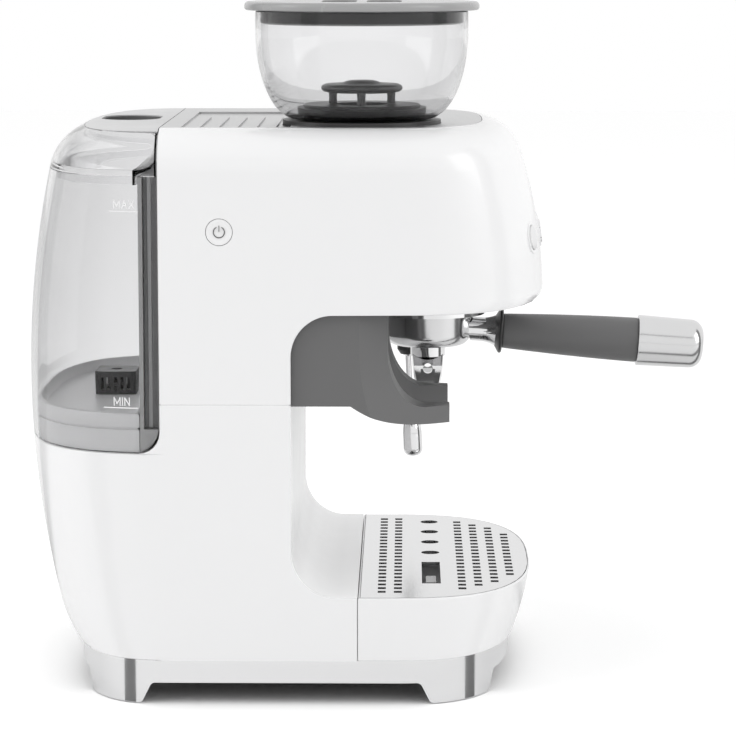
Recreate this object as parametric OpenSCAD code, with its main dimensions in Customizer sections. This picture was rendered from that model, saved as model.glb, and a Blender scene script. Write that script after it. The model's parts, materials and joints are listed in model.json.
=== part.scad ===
// Espresso machine with a built-in burr grinder, in millimetres.
// X runs across the machine, -Y is its front, +Z is up, and Z = 0 is the table.

/* [Body] */
// Width across the two flat side walls
body_w = 250; // [220:1:280]
// Height of the top deck above the table
deck_z = 329; // [310:1:350]
// Height of the seam between the lower and the upper housing
seam_z = 174; // [168:1:180]
// Height of the underside of the head
head_z = 225; // [220:1:232]
// Furthest the rear of the housing bulges out
rear_y = 154.5; // [145:0.5:165]
// Height of the widest point of the rear bulge
bulge_z = 182; // [170:1:195]
// Radius of the rear bulge, seen from the side
bulge_r = 550; // [450:10:800]
// How far forward the head reaches at its lower edge
head_front = 151; // [140:0.5:160]
// Radius of the head's front, seen from the side
head_r = 270; // [220:10:400]
// Radius of the shoulder round the top deck
shoulder_r = 24; // [18:1:25]
// Wall thickness of the painted housings
wall = 3; // [2:0.5:4]
// Front face of the column, measured forward from the centre
column_front = 4.4; // [0:0.2:12]
// Radius of the cove between column and tray floor
cove_r = 26.5; // [15:0.5:30]
// Radius of the cove between column and head
arch_r = 24; // [15:1:30]
// Gap between neighbouring housings
gap = 0.3; // [0.2:0.05:0.6]

/* [Base] */
// Height of the base band's top edge
base_z = 26; // [22:1:32]
// Height of the base band's lower edge between the feet
band_z = 12.8; // [9:0.2:16]
// Front of the base band
base_front = 134; // [125:0.5:140]
// Rear of the base band
base_rear = 127; // [118:0.5:132]
// Wall thickness of the base band
band_t = 4; // [3:0.5:6]
// Length of a foot along the side of the machine
foot_l = 34; // [28:1:42]
// Thickness of the rubber pads under the feet
pad_t = 1.6; // [1:0.2:3]

/* [Drip tray] */
// Height of the drip tray's top edge
tray_z = 63; // [55:1:68]
// Front of the drip tray at its top edge
tray_front = 144.5; // [138:0.5:150]
// Where the tray meets the column's foot, forward of the centre
tray_seam = 42; // [36:1:48]
// Thickness of the perforated grate
grate_t = 1.6; // [1.2:0.2:3]
// Spacing of the grate's slots along a row
slot_pitch = 9.8; // [8:0.2:14]

/* [Water tank] */
// Front plane of the water tank
tank_y = 70; // [66:1:76]
// Height of the shelf that the tank stands on
tank_z = 146; // [138:1:152]
// Height of the joint between tank and lid
lid_z = 303; // [296:1:303]
// Height of the skirt under the tank's floor
tank_skirt = 14; // [10:1:18]
// Wall thickness of the tank
tank_wall = 2.6; // [2:0.2:4]
// Thickness of the panel that closes the tank's front
panel_t = 8; // [6:0.5:10]
// Radius of the tank lid's finger recess
recess_r = 17.5; // [14:0.5:22]

/* [Hopper] */
// Distance of the hopper's axis left of the centre
hopper_x = 50; // [44:1:54]
// Distance of the hopper's axis forward of the centre
hopper_y = 43.5; // [40:0.5:46]
// Outer radius of the hopper's rim
hopper_r = 61.7; // [56:0.1:66]
// Height of the hopper bowl above the deck
hopper_h = 62.5; // [55:0.5:70]
// Radius of the hopper lid
hopper_lid_r = 68; // [64:0.5:72]
// Thickness of the hopper lid's rim
hopper_lid_t = 5; // [4:0.5:7]
// Wall thickness of the clear bowl
bowl_t = 2.4; // [1.8:0.2:3]

/* [Grinder] */
// Outer radius of the ring burr
burr_r = 21; // [19:0.5:22]
// Height of the burr set
burr_h = 20; // [16:1:22]
// Number of coarse teeth on the cone burr
burr_teeth = 8; // [6:1:10]
// Number of fine teeth round the foot of the burrs
ring_teeth = 24; // [18:2:30]
// Gear module
gear_m = 1; // [0.9:0.1:1.1]
// Teeth of the gear on the burr shaft
shaft_teeth = 48; // [44:4:52]
// Teeth of the idler gear
idler_teeth = 24; // [20:4:28]
// Teeth of the motor pinion
pinion_teeth = 12; // [12:4:16]
// Thickness of the gears
gear_t = 8; // [6:0.5:9]
// Radius of the grinder motor
motor_r = 22; // [18:0.5:22]
// Inner radius of the grounds chute
chute_r = 5.5; // [4.5:0.5:6]

/* [Group and filter holder] */
// Distance of the group's axis right of the centre
group_x = 58; // [50:1:64]
// Distance of the group's axis forward of the centre
group_y = 83; // [78:1:88]
// Outer radius of the filter holder's bowl
holder_r = 26.5; // [25:0.5:28]
// Height of the filter holder's floor above the table
holder_z = 184.5; // [182:0.5:188]
// Outer radius of the group ring
group_r = 36; // [35.5:0.5:39]
// Slope of the handle below level, in degrees
handle_slope = 3.9; // [0:0.1:8]
// Length of the soft grip
grip_l = 84; // [70:1:100]
// Radius of the grip at its thin end
grip_r1 = 10.7; // [9:0.1:12]
// Radius of the grip at its thick end
grip_r2 = 13.8; // [12:0.1:15]
// Radius of the metal end cap
cap_r = 15.8; // [14.5:0.1:18]
// Length of the metal end cap
cap_l = 41; // [34:0.5:50]
// How far the handle turns out of its lock, in degrees
holder_turn = 45; // [30:1:60]

/* [Steam wand] */
// Distance of the wand's ball joint right of the centre
wand_x = 101; // [98:0.5:104]
// Distance of the wand's ball joint forward of the centre
wand_y = 70.7; // [64:0.1:78]
// Height of the ball joint
wand_z = 175; // [170:1:185]
// Radius of the ball
ball_r = 4.5; // [4:0.1:6]
// Length of the wand below the ball
wand_l = 69; // [60:1:80]
// Radius of the polished sleeve
sleeve_r = 6.2; // [5:0.1:7]

/* [Cradle] */
// Inner radius of the cradle's fork
fork_r = 31; // [30:0.5:33]
// Wall thickness of the fork's arms
fork_t = 7; // [5:0.5:9]
// How far forward the fork reaches
fork_front = 94.5; // [90:0.5:98]
// Height of the fork's arms at their tips
fork_top = 169.5; // [166:0.5:174]
// Lower edge of the fork at its tips
fork_low = 159.5; // [156:0.5:163]

/* [Buttons] */
// Radius of the power button
power_r = 7.4; // [6:0.1:9]
// Distance of the power button behind the centre
power_y = 35.4; // [28:0.2:45]
// Height of the power button
power_z = 272; // [250:1:290]
// Radius of the front buttons
button_r = 7; // [6:0.1:8]
// Spacing of the front buttons
button_pitch = 44; // [36:1:46]
// Height of the front buttons
button_z = 263.5; // [252:0.5:268]

/* [Hidden] */

eps = 0.01;
half_w = body_w / 2;
// Where the rounded ends of the plan begin, and how square they are
rear_start = 64;
front_start = -61;
plan_power = 2.7;
end_steps = 24;
inner_steps = 16;
white = [0.93, 0.93, 0.93];
grey = [0.42, 0.42, 0.42];
dark = [0.16, 0.16, 0.17];
steel = [0.78, 0.79, 0.8];
smoke = [0.62, 0.63, 0.64, 0.6];
clear = [0.85, 0.87, 0.88, 0.4];
brass = [0.8, 0.66, 0.35];

// ---- Outline of the body -------------------------------------------------

// Rear outline seen from the side: a wide arc, tucked in at the very bottom
tuck_h = 22;
tuck_d = 5;
function arc_rear(z) = rear_y - pow(z - bulge_z, 2) / (2 * bulge_r);
function tuck(z) = z < base_z + tuck_h ? tuck_d * pow(1 - (z - base_z) / tuck_h, 2) : 0;
function rear_at(z) = arc_rear(z) - tuck(z);

// Front outline of the head seen from the side
function head_at(z) = -head_front + pow(z - head_z, 2) / (2 * head_r);

// Front outline of the drip tray seen from the side
tray_lean = 0.15;
tray_r = 158;
function tray_at(z) = -tray_front + tray_lean * (tray_z - z) + pow(tray_z - z, 2) / (2 * tray_r);

// How far a rounded edge of radius r has drawn in at height h above its start
function round_in(h, r) = h <= 0 ? 0 : r - sqrt(max(0, r * r - h * h));

// Half of a rounded plan, from +X round to -X, reaching from y0 to y1
function lame(t) = sign(t) * pow(abs(t), 2 / plan_power);
function plan_end(x, y0, y1, steps = end_steps) = [
    for (i = [0:steps])
        let (a = 180 * i / steps)
        [x * lame(cos(a)), y0 + (y1 - y0) * lame(sin(a))]
];

// A closed solid through rings of equally many points, from the lowest ring up
module loft(rings) {
    n = len(rings[0]);
    m = len(rings);
    points = [for (ring = rings) each ring];
    sides = [
        for (k = [0:m - 2], i = [0:n - 1])
            let (j = (i + 1) % n)
            each [
                [k * n + i, (k + 1) * n + i, (k + 1) * n + j],
                [k * n + i, (k + 1) * n + j, k * n + j]
            ]
    ];
    low = [for (i = [0:n - 1]) i];
    top = [for (i = [n - 1:-1:0]) (m - 1) * n + i];
    polyhedron(points, concat([low], sides, [top]), convexity = 4);
}

function at_z(points, z) = [for (p = points) [p[0], p[1], z]];

// A box given by its lowest and highest corners
module block(low, high) {
    translate(low) cube(high - low);
}

// A cylinder along Z from z0 to z1 at x, y
module rod(x, y, z0, z1, r) {
    translate([x, y, z0]) cylinder(h = z1 - z0, r = r, $fn = 64);
}

// A ring along Z
module ring(x, y, z0, z1, r_out, r_in) {
    difference() {
        rod(x, y, z0, z1, r_out);
        rod(x, y, z0 - 1, z1 + 1, r_in);
    }
}

// A wedge of material that fills a square corner along X, leaving a cove of radius r.
// The corner lies at y, z; dy and dz say on which side of it the material is.
module cove(x0, x1, y, z, r, dy, dz) {
    difference() {
        block(
            [x0, min(y, y + dy * r), min(z, z + dz * r)],
            [x1, max(y, y + dy * r), max(z, z + dz * r)]
        );
        translate([x0 - 1, y + dy * r, z + dz * r])
            rotate([0, 90, 0]) cylinder(h = x1 - x0 + 2, r = r, $fn = 96);
    }
}

// ---- Base ----------------------------------------------------------------

band_inset = 2;
pad_proud = 0.6;
pad_r = 10;
pad_fit = 0.2;
plate_t = 2.5;
plate_z = 14;
arch_len = 154;
arch_mid = -1;
arch_lean = 6;
arch_round = 3.5;
boss_in = 27;
boss_x = half_w - boss_in;
boss_rear = 93;
boss_front = 99;

// Plan of the base, drawn in from the housing by inset
function base_plan(inset) = concat(
    plan_end(half_w - inset, rear_start, base_rear - inset),
    plan_end(-(half_w - inset), front_start, -(base_front - inset))
);

// Outline of the band seen from one side: a strip w long with two feet, whose inner flanks run
// out in one round into the band and in another into the foot's underside
module foot_arch(w, mid) {
    offset(-arch_round) offset(2 * arch_round) offset(-arch_round) difference() {
        translate([mid - w, pad_proud]) square([2 * w, 2 * base_z]);
        polygon([
            [mid - w / 2, band_z], [mid + w / 2, band_z],
            [mid + w / 2 + arch_lean, pad_proud - 1], [mid - w / 2 - arch_lean, pad_proud - 1]
        ]);
    }
}

module at_feet() {
    for (x = [-boss_x, boss_x]) {
        translate([x, boss_rear]) children();
        translate([x, -boss_front]) children();
    }
}

// The band with its arched openings between the feet
module base_band() {
    intersection() {
        difference() {
            translate([0, 0, pad_proud]) linear_extrude(base_z - pad_proud) polygon(base_plan(band_inset));
            translate([0, 0, -1]) linear_extrude(base_z + 2) polygon(base_plan(band_inset + band_t));
        }
        translate([-body_w, 0, 0]) rotate([90, 0, 90])
            linear_extrude(2 * body_w) foot_arch(arch_len, arch_mid);
        translate([0, body_w, 0])
            rotate([90, 0, 0]) linear_extrude(2 * body_w) foot_arch(body_w - 2 * foot_l - 2 * arch_lean, 0);
    }
}

module base_frame() {
    color(steel) difference() {
        union() {
            base_band();
            at_feet() translate([0, 0, pad_proud])
                cylinder(h = plate_z - pad_proud, r = pad_r + 2, $fn = 48);
        }
        at_feet() translate([0, 0, -1]) cylinder(h = pad_t + 1, r = pad_r + pad_fit, $fn = 48);
    }
}

module foot_pads() {
    color(dark) at_feet() {
        cylinder(h = pad_t, r = pad_r, $fn = 48);
    }
}

vent_w = 3;
vent_l = 60;
vent_pitch = 8;

module base_plate() {
    color(dark) difference() {
        translate([0, 0, plate_z]) linear_extrude(plate_t) polygon(base_plan(band_inset + band_t + gap));
        for (i = [-4:4]) {
            block(
                [-vent_l / 2, 40 + i * vent_pitch, plate_z - 1],
                [vent_l / 2, 40 + i * vent_pitch + vent_w, plate_z + plate_t + 1]
            );
        }
    }
}

// ---- Lower housing -------------------------------------------------------

shelf_cove = 12;
gland_x = 30;
gland_z = 62;
gland_r = 8;
gland_lip = 2.5;
gland_in = 1.2;
cord_r = 3.6;
valve_y = 106;
low_rings = [for (k = [0:8]) base_z + (tank_z - base_z) * pow(k / 8, 1.3)];

// Places things on the rear wall where the cord comes out, with +Z pointing out of it
module at_gland() {
    slope = (rear_at(gland_z + 1) - rear_at(gland_z - 1)) / 2;
    bow = pow(1 - pow(gland_x / half_w, plan_power), 1 / plan_power);
    translate([gland_x, rear_start + (rear_at(gland_z) - rear_start) * bow, gland_z])
        rotate([-90 - atan(slope), 0, 0]) children();
}

module lower_body() {
    color(white) difference() {
        union() {
            loft([for (z = low_rings) at_z(plan_end(half_w, rear_start, rear_at(z)), z)]);
            block([-half_w, -column_front, base_z], [half_w, rear_start + eps, tank_z]);
            block([-half_w, -column_front, tank_z - 1], [half_w, tank_y, seam_z]);
            block([-half_w, -tray_seam, base_z], [half_w, -column_front + eps, tray_z]);
            cove(-half_w, half_w, -column_front, tray_z, cove_r, -1, 1);
            cove(-half_w + 1, half_w - 1, tank_y, tank_z, shelf_cove, 1, 1);
        }
        loft([
            for (k = [0:4])
                let (z = base_z - 1 + (tank_z - wall - base_z + 1) * k / 4)
                at_z(plan_end(half_w - wall, rear_start - 1, rear_at(max(z, base_z)) - wall,
                    inner_steps), z)
        ]);
        block(
            [-half_w + wall, -column_front + wall, base_z - 1],
            [half_w - wall, rear_start, tank_z - wall]
        );
        block(
            [-half_w + wall, -column_front + wall, tank_z - wall - 1],
            [half_w - wall, tank_y - wall, seam_z + 1]
        );
        block(
            [-half_w + wall, -tray_seam + wall, base_z - 1],
            [half_w - wall, 0, tray_z - wall]
        );
        rod(0, valve_y, tank_z - wall - 1, tank_z + 1, stub_r + 0.2);
        at_gland() translate([0, 0, -30]) cylinder(h = 60, r = gland_r + 0.1, $fn = 48);
        at_gland() translate([0, 0, -gland_in]) cylinder(h = 30, r = gland_r + gland_lip + 0.1, $fn = 48);
    }
}

// ---- Upper housing -------------------------------------------------------

front_shoulder = 16;
lip_r = 7;
deck_t = 3;
deck_rim = 1;
ledge = 3;
collar_r = 46;
// The shoulder leaves room on the deck for the hopper's collar
shoulder = min(shoulder_r, half_w - hopper_x - collar_r - deck_rim - ledge);
bezel_r = button_r + 2.2;
bezel_out = 0.6;
bezel_in = 4;
button_gap = 0.3;

function head_y(z) =
    head_at(z) + round_in(z - (deck_z - front_shoulder), front_shoulder)
    + round_in(head_z + lip_r - z, lip_r);

// Plan of the head at height z, drawn in by inset
function head_plan(z, inset, steps = end_steps) =
    let (b = half_w - round_in(z - (deck_z - shoulder), shoulder) - inset)
    concat([[b, tank_y]], [[-b, tank_y]], plan_end(-b, front_start, head_y(z) + inset, steps));

// Plan of the flat deck, drawn in by inset
function deck_plan(inset) = head_plan(deck_z - eps, inset);

head_rings = concat(
    [for (a = [0:30:60]) head_z + lip_r * (1 - cos(a))],
    [for (k = [0:4]) head_z + lip_r + (deck_z - shoulder - head_z - lip_r) * k / 4],
    [for (a = [18:18:90]) deck_z - shoulder + shoulder * sin(a) - eps]
);

// Depth of the head's face at the height of the front buttons
function face_y(x) =
    front_start + (head_at(button_z) - front_start) * pow(1 - pow(abs(x) / half_w,
        plan_power), 1 / plan_power);

// Places things square to the head's face at x, with +Z pointing out of it
module at_face(x) {
    turn = atan((face_y(x + 1) - face_y(x - 1)) / 2);
    tilt = atan((button_z - head_z) / head_r);
    translate([x, face_y(x), button_z]) rotate([0, 0, turn]) rotate([90 - tilt, 0, 0]) children();
}

module at_front_buttons() {
    for (i = [-1.5:1:1.5]) at_face(i * button_pitch) children();
}

module upper_body() {
    color(white) difference() {
        union() {
            loft([for (z = head_rings) at_z(head_plan(z, 0), z)]);
            block([-half_w, -column_front, seam_z], [half_w, tank_y, head_z + 1]);
            cove(-half_w, half_w, -column_front, head_z, arch_r, -1, -1);
            at_front_buttons() translate([0, 0, -bezel_in])
                cylinder(h = bezel_in + bezel_out, r = bezel_r, $fn = 64);
        }
        loft([
            for (z = spread(head_z - 1, deck_z - deck_t - ledge, 6))
                at_z(head_plan(max(z, head_z + lip_r), wall, inner_steps), z)
        ]);
        block(
            [-half_w + wall, -column_front - arch_r - 1, seam_z - 1],
            [half_w - wall, tank_y - wall, head_z + 1]
        );
        block(
            [-half_w + wall, -column_front, head_z - 1],
            [half_w - wall, tank_y - wall, deck_z - shoulder]
        );
        translate([0, 0, deck_z - deck_t - ledge - 1])
            linear_extrude(deck_t + ledge + 2) polygon(deck_plan(deck_rim + ledge));
        translate([0, 0, deck_z - deck_t]) linear_extrude(deck_t + 1) polygon(deck_plan(deck_rim));
        translate([-half_w - 1, power_y, power_z])
            rotate([0, 90, 0]) cylinder(h = wall + 2, r = power_r + button_gap, $fn = 64);
        at_front_buttons() translate([0, 0, -bezel_in - 1])
            cylinder(h = bezel_in + 4, r = button_r + button_gap, $fn = 64);
    }
}

// ---- Lining under the head, and the cradle -------------------------------

lining_t = 2.5;
lining_fit = 0.2;
lining_back = 40;
lining_z = head_z + 0.5;
port_r = 6.8;
outlet_y = 76;
outlet_r = chute_r + 1.2;

module lining_sheet() {
    inner_y = -column_front + lining_t;
    bend_y = -column_front - arch_r;
    bend_z = head_z - arch_r + 0.5;
    difference() {
        union() {
            block([-half_w + wall + lining_fit, -column_front, seam_z],
                [half_w - wall - lining_fit, inner_y, bend_z]);
            translate([-half_w + wall + lining_fit, bend_y, bend_z]) rotate([90, 0, 90])
                intersection() {
                    cylinder(h = body_w - 2 * (wall + lining_fit), r = arch_r + lining_t, $fn = 96);
                    cube([arch_r + lining_t, arch_r + lining_t, body_w]);
                }
        }
        translate([-body_w, bend_y, bend_z])
            rotate([0, 90, 0]) cylinder(h = 2 * body_w, r = arch_r, $fn = 96);
    }
}

module head_lining() {
    color(grey) difference() {
        union() {
            lining_sheet();
            translate([0, 0, lining_z]) linear_extrude(lining_t) intersection() {
                polygon(head_plan(head_z + lip_r, wall + lining_fit, inner_steps));
                translate([-body_w, lining_back - 2 * head_front]) square([2 * body_w, 2 * head_front]);
            }
        }
        rod(group_x, -group_y, head_z - 10, head_z + 10, group_r + gap);
        rod(-hopper_x, -outlet_y, head_z - 10, head_z + 10, outlet_r + gap);
        rod(wand_x, -wand_y, head_z - 10, head_z + 10, port_r + gap);
    }
}

cradle_back = 38;
cradle_step = 43;
cradle_wide = half_w - wall - 2;
cradle_in = 4;
cradle_foot = seam_z - 1.4;
sweep_y = 59;
sweep_z = 203;
sweep_len = 22;
fold_run = 9;
fork_flare = 4;
pocket_half = fork_r + fork_t;

// Side outline of the cradle, as [y, z]
cradle_side = concat(
    [[-column_front, cradle_foot]],
    [for (a = [0:15:90]) [-column_front - arch_r + arch_r * cos(a), lining_z - arch_r + arch_r * sin(a)]],
    [[-sweep_y, lining_z]],
    [for (a = [0:10:90])
        [-sweep_y - sweep_len + sweep_len * cos(a), sweep_z - (sweep_z - fork_top) * sin(a)]],
    [[-fork_front, fork_top], [-fork_front, fork_low]],
    [for (t = [0:0.125:1])
        [
            -fork_front + (fork_front - cradle_back) * t,
            fork_low + (cradle_foot - fork_low) * pow(t, 3)
        ]]
);

// Plan of the cradle at height z. Its flanks turn in towards the fork along a fold that is
// upright above and runs forward below.
function cradle_plan(z) =
    let (fold = cradle_step + fold_run * pow(max(0, (sweep_z - z) / (sweep_z - fork_low)), 2))
    [
        [-cradle_wide, -column_front, z],
        [-cradle_wide, -fold, z],
        [-hopper_x - pocket_half - fork_flare, -fork_front - 1, z],
        [-hopper_x + pocket_half + fork_flare, -fork_front - 1, z],
        [cradle_in, -fold, z],
        [cradle_in, -column_front, z]
    ];

module grinder_cradle() {
    color(grey) difference() {
        intersection() {
            translate([-body_w, 0, 0]) rotate([90, 0, 90]) linear_extrude(2 * body_w) polygon(cradle_side);
            loft([for (z = concat(spread(fork_low - 1, sweep_z, 4), [head_z + 2])) cradle_plan(z)]);
        }
        rod(-hopper_x, -outlet_y, tray_z, deck_z, fork_r);
        block([-hopper_x - fork_r, -2 * fork_front, tray_z], [-hopper_x + fork_r, -outlet_y, deck_z]);
        block([-cradle_wide + wall, -cradle_back, cradle_foot + wall],
            [cradle_in - wall, -column_front, sweep_z]);
        translate([-hopper_x, 0, trigger_z]) rotate([90, 0, 0])
            cylinder(h = outlet_y, r = trigger_r + button_gap, $fn = 48);
    }
}

trigger_r = 4;
trigger_z = 188;
trigger_out = 4;
trigger_l = 14;

module grind_trigger() {
    tip = -outlet_y + fork_r - trigger_out;
    color(dark) {
        translate([-hopper_x, tip, trigger_z]) rotate([-90, 0, 0])
            cylinder(h = trigger_l, r = trigger_r, $fn = 48);
    }
}

// ---- Deck ----------------------------------------------------------------

rib_pitch = 10.8;
rib_w = 3;
rib_first = 4.5;
rib_count = 5;
rib_reach = 8;
rest_depth = 1.2;
rest_left = half_w - shoulder - 5;
rest_right = 60;

module top_plate() {
    color(steel) difference() {
        translate([0, 0, deck_z - deck_t]) linear_extrude(deck_t) polygon(deck_plan(deck_rim + gap));
        // The cup rest is sunk into the plate, and the ribs stand up in its left half
        difference() {
            block(
                [-rest_left, rib_first - rib_pitch + rib_w, deck_z - rest_depth],
                [rest_right, rib_first + rib_count * rib_pitch, deck_z + 1]
            );
            for (i = [0:rib_count - 1]) {
                y = rib_first + i * rib_pitch;
                block([-body_w, y, 0], [rib_reach - rib_w / 2, y + rib_w, 2 * deck_z]);
                rod(rib_reach - rib_w / 2, y + rib_w / 2, 0, 2 * deck_z, rib_w / 2);
            }
        }
        rod(-hopper_x, -hopper_y, deck_z - deck_t - 1, deck_z + 1, collar_r + gap);
    }
}

// ---- Water tank ----------------------------------------------------------

tank_fit = 0.4;
tank_round = 14;
panel_half = half_w - 7;
panel_z = tank_z + tank_round;
tank_front = tank_y + tank_fit + panel_t;
tank_low = tank_z + gap;
tank_floor = tank_low + tank_skirt + tank_wall;
nipple_r = 8;
nipple_z = tank_floor - tank_wall - 7;
stem_r = 3;
stem_play = 1.5;
valve_open = 2.4;
valve_t = 2;
valve_disc_r = 6.5;
socket_w = 25;
push_r = 1.5;
push_z = tank_floor - 2;
stub_r = 6;
stub_l = 10;
filter_h = 14;
filter_t = 1.6;
filter_cap = 2.5;

module tank_panel() {
    color(grey) block([-panel_half, tank_y + tank_fit, panel_z], [panel_half, tank_front, lid_z]);
}

// A square block with rounded corners round the valve's axis
module valve_block(w, r, z0, z1) {
    translate([0, valve_y, z0]) linear_extrude(z1 - z0) offset(r) square(w - 2 * r, center = true);
}

module tank_socket() {
    cup_z = nipple_z - 1;
    color(dark) {
        difference() {
            valve_block(socket_w, 4, tank_z, tank_floor - tank_wall - 2 * gap);
            rod(0, valve_y, cup_z, tank_floor, nipple_r + gap);
        }
        rod(0, valve_y, tank_z - stub_l, tank_z + eps, stub_r);
        rod(0, valve_y, cup_z - eps, push_z, push_r);
    }
}

module cord_gland() {
    color(dark) at_gland() difference() {
        union() {
            translate([0, 0, -16]) cylinder(h = 16, r = gland_r, $fn = 48);
            translate([0, 0, -gland_in]) cylinder(h = gland_in + 2, r = gland_r + gland_lip, $fn = 48);
        }
        translate([0, 0, -17]) cylinder(h = 20, r = cord_r, $fn = 48);
    }
}

function spread(z0, z1, steps) = [for (k = [0:steps]) z0 + (z1 - z0) * k / steps];

// Everything behind the tank's front face, drawn in by inset, from z0 to z1
module tank_solid(inset, y0, z0, z1, steps, rings) {
    intersection() {
        loft([
            for (z = spread(z0, z1, rings))
                at_z(plan_end(half_w - inset, rear_start, rear_at(z) - inset, steps), z)
        ]);
        block([-body_w, y0, z0 - 1], [body_w, 2 * rear_y, z1 + 1]);
    }
}

module tank_shell() {
    color(smoke) {
        difference() {
            tank_solid(0, tank_y + tank_fit, tank_low, lid_z, end_steps, 6);
            tank_solid(tank_wall, tank_front + tank_wall, tank_floor, lid_z + 1, inner_steps, 4);
            tank_solid(tank_wall, tank_front + tank_wall, tank_low - 1, tank_floor - tank_wall,
                inner_steps, 1);
            block([-panel_half, 0, panel_z], [panel_half, tank_front, 2 * lid_z]);
            cove(-body_w, body_w, tank_y + tank_fit, tank_low, tank_round, 1, 1);
            rod(0, valve_y, tank_low, tank_floor + 1, stem_r + stem_play);
        }
        ring(0, valve_y, nipple_z, tank_floor - tank_wall + eps, nipple_r, stem_r + stem_play);
    }
}

lid_skirt = 5;
recess_d = 4;
recess_half = 9;

// Plan of the tank's rim behind y0, drawn in by inset
module lid_plan(inset, y0) {
    intersection() {
        polygon(plan_end(half_w - inset, rear_start, rear_at(lid_z) - inset));
        translate([-body_w, y0]) square([2 * body_w, 2 * rear_y]);
    }
}

// A band inside the lid's rim, from the given inset to the inner face of its skirt
module lid_skirt_plan(inset) {
    difference() {
        lid_plan(inset, tank_front + tank_wall + 1);
        lid_plan(tank_wall + 3, tank_front + tank_wall + 3);
    }
}

function lid_ring(z, inset, steps) =
    let (e = round_in(z - (deck_z - shoulder), shoulder))
    at_z(plan_end(half_w - e - inset, rear_start, arc_rear(z) - e - inset, steps), z);

// A finger recess with round ends, lying across the lid
module lid_recess(y, z0, z1, r) {
    for (side = [-1, 1]) rod(side * recess_half, y, z0, z1, r);
    block([-recess_half, y - r, z0], [recess_half, y + r, z1]);
}

// Heights at which the lid's inner surface follows its shoulder
lid_levels = spread(deck_z - shoulder, deck_z - wall, 3);

module tank_lid() {
    recess_y = (tank_y + rear_y - shoulder) / 2 - 5.5;
    color(smoke) difference() {
        union() {
            difference() {
                loft(concat(
                    [lid_ring(lid_z + gap, 0, end_steps)],
                    [for (a = [0:18:90]) lid_ring(deck_z - shoulder + shoulder * sin(a) - eps, 0, end_steps)]
                ));
                loft([for (z = concat([lid_z - 1], lid_levels)) lid_ring(z, tank_wall, inner_steps)]);
            }
            lid_recess(recess_y, deck_z - recess_d - 2, deck_z - 1, recess_r + 2);
            intersection() {
                loft([
                    for (z = concat([lid_z + gap], lid_levels, [deck_z - wall / 2]))
                        lid_ring(z, tank_wall / 2, inner_steps)
                ]);
                block([-half_w, tank_y + tank_fit, lid_z], [half_w, tank_y + tank_fit + tank_wall, deck_z]);
            }
            translate([0, 0, lid_z - lid_skirt])
                linear_extrude(lid_skirt + gap + eps) lid_skirt_plan(tank_wall + 1);
            translate([0, 0, lid_z + gap]) linear_extrude(wall) lid_skirt_plan(1);
        }
        block([-body_w, 0, 0], [body_w, tank_y + tank_fit, 2 * lid_z]);
        lid_recess(recess_y, deck_z - recess_d, deck_z + 1, recess_r);
    }
}

valve_seat = tank_floor + valve_open;

module tank_valve() {
    color(dark) {
        rod(0, valve_y, push_z + gap, valve_seat + valve_t + 5, stem_r);
        rod(0, valve_y, valve_seat, valve_seat + valve_t, valve_disc_r);
    }
}

coil_t = 1.2;
coil_turns = 3;
coil_share = 200;

// Cross-section of the spring's wire where a level plane cuts its coils
module coil_cut() {
    r = stem_r + 0.6;
    polygon(concat(
        [for (a = [0:15:coil_share]) polar(r, a)],
        [for (a = [coil_share:-15:0]) polar(r + coil_t, a)]
    ));
}

module valve_spring() {
    low = valve_seat + valve_t;
    color(steel) translate([0, valve_y, low])
        linear_extrude(tank_floor + filter_h - filter_cap - low, twist = -360 * coil_turns,
            slices = 20 * coil_turns)
        coil_cut();
}

module tank_filter() {
    top = tank_floor + filter_h;
    color(dark) difference() {
        valve_block(socket_w, 3, tank_floor, top);
        valve_block(socket_w - 2 * filter_t, 2, tank_floor - 1, top - filter_cap);
        for (x = [-8:4:8]) {
            block([x - 1, valve_y - socket_w, tank_floor + 3],
                [x + 1, valve_y + socket_w, top - filter_cap - 1]);
            block([-socket_w, valve_y + x - 1, tank_floor + 3],
                [socket_w, valve_y + x + 1, top - filter_cap - 1]);
        }
        rod(0, valve_y, tank_floor, top + 1, stem_r + 0.4);
    }
}

// ---- Hopper --------------------------------------------------------------

seat_z = deck_z + 2.3;
seat_r = 38;
throat_r = 16;
neck_r = 26;
base_t = 4;
bowl_curve_h = 50;

// Radius of the bowl at height h above its seat, with the wall drawn in by t
function bowl_rad(h, t) =
    seat_r + (hopper_r - seat_r - t) * sqrt(max(0, 1 - pow(1 - min(1, (h - t) / (bowl_curve_h - t)), 2)));

module hopper_bowl() {
    top = hopper_h;
    color(clear) translate([-hopper_x, -hopper_y, seat_z]) rotate_extrude($fn = 96) polygon(concat(
        [[neck_r, 0]],
        [for (k = [0:8]) let (h = bowl_curve_h * pow(k / 8, 2)) [bowl_rad(h, 0), h]],
        [[hopper_r, top], [hopper_r - bowl_t, top]],
        [for (k = [8:-1:0])
            let (h = bowl_t + (bowl_curve_h - bowl_t) * pow(k / 8, 2))
            [bowl_rad(h, bowl_t), h]],
        [[neck_r, bowl_t]]
    ));
}

module hopper_base() {
    z = seat_z + bowl_t;
    color(dark) {
        difference() {
            union() {
                rod(-hopper_x, -hopper_y, z, z + base_t, seat_r - 0.5);
                rod(-hopper_x, -hopper_y, carrier_top + 1, z + eps, neck_r - gap);
            }
            rod(-hopper_x, -hopper_y, carrier_top - 1, z + base_t + 1, throat_r);
            for (a = [0:120:240]) {
                translate([-hopper_x, -hopper_y, 0]) rotate([0, 0, a])
                    rod(throat_r + 5, 0, carrier_top - 1, carrier_top + key_h + key_play, key_r + gap);
            }
        }
    }
}

guard_r = 23.7;
guard_gap = 9;
guard_t = 5;
guard_leg_r = 2.6;

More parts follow.
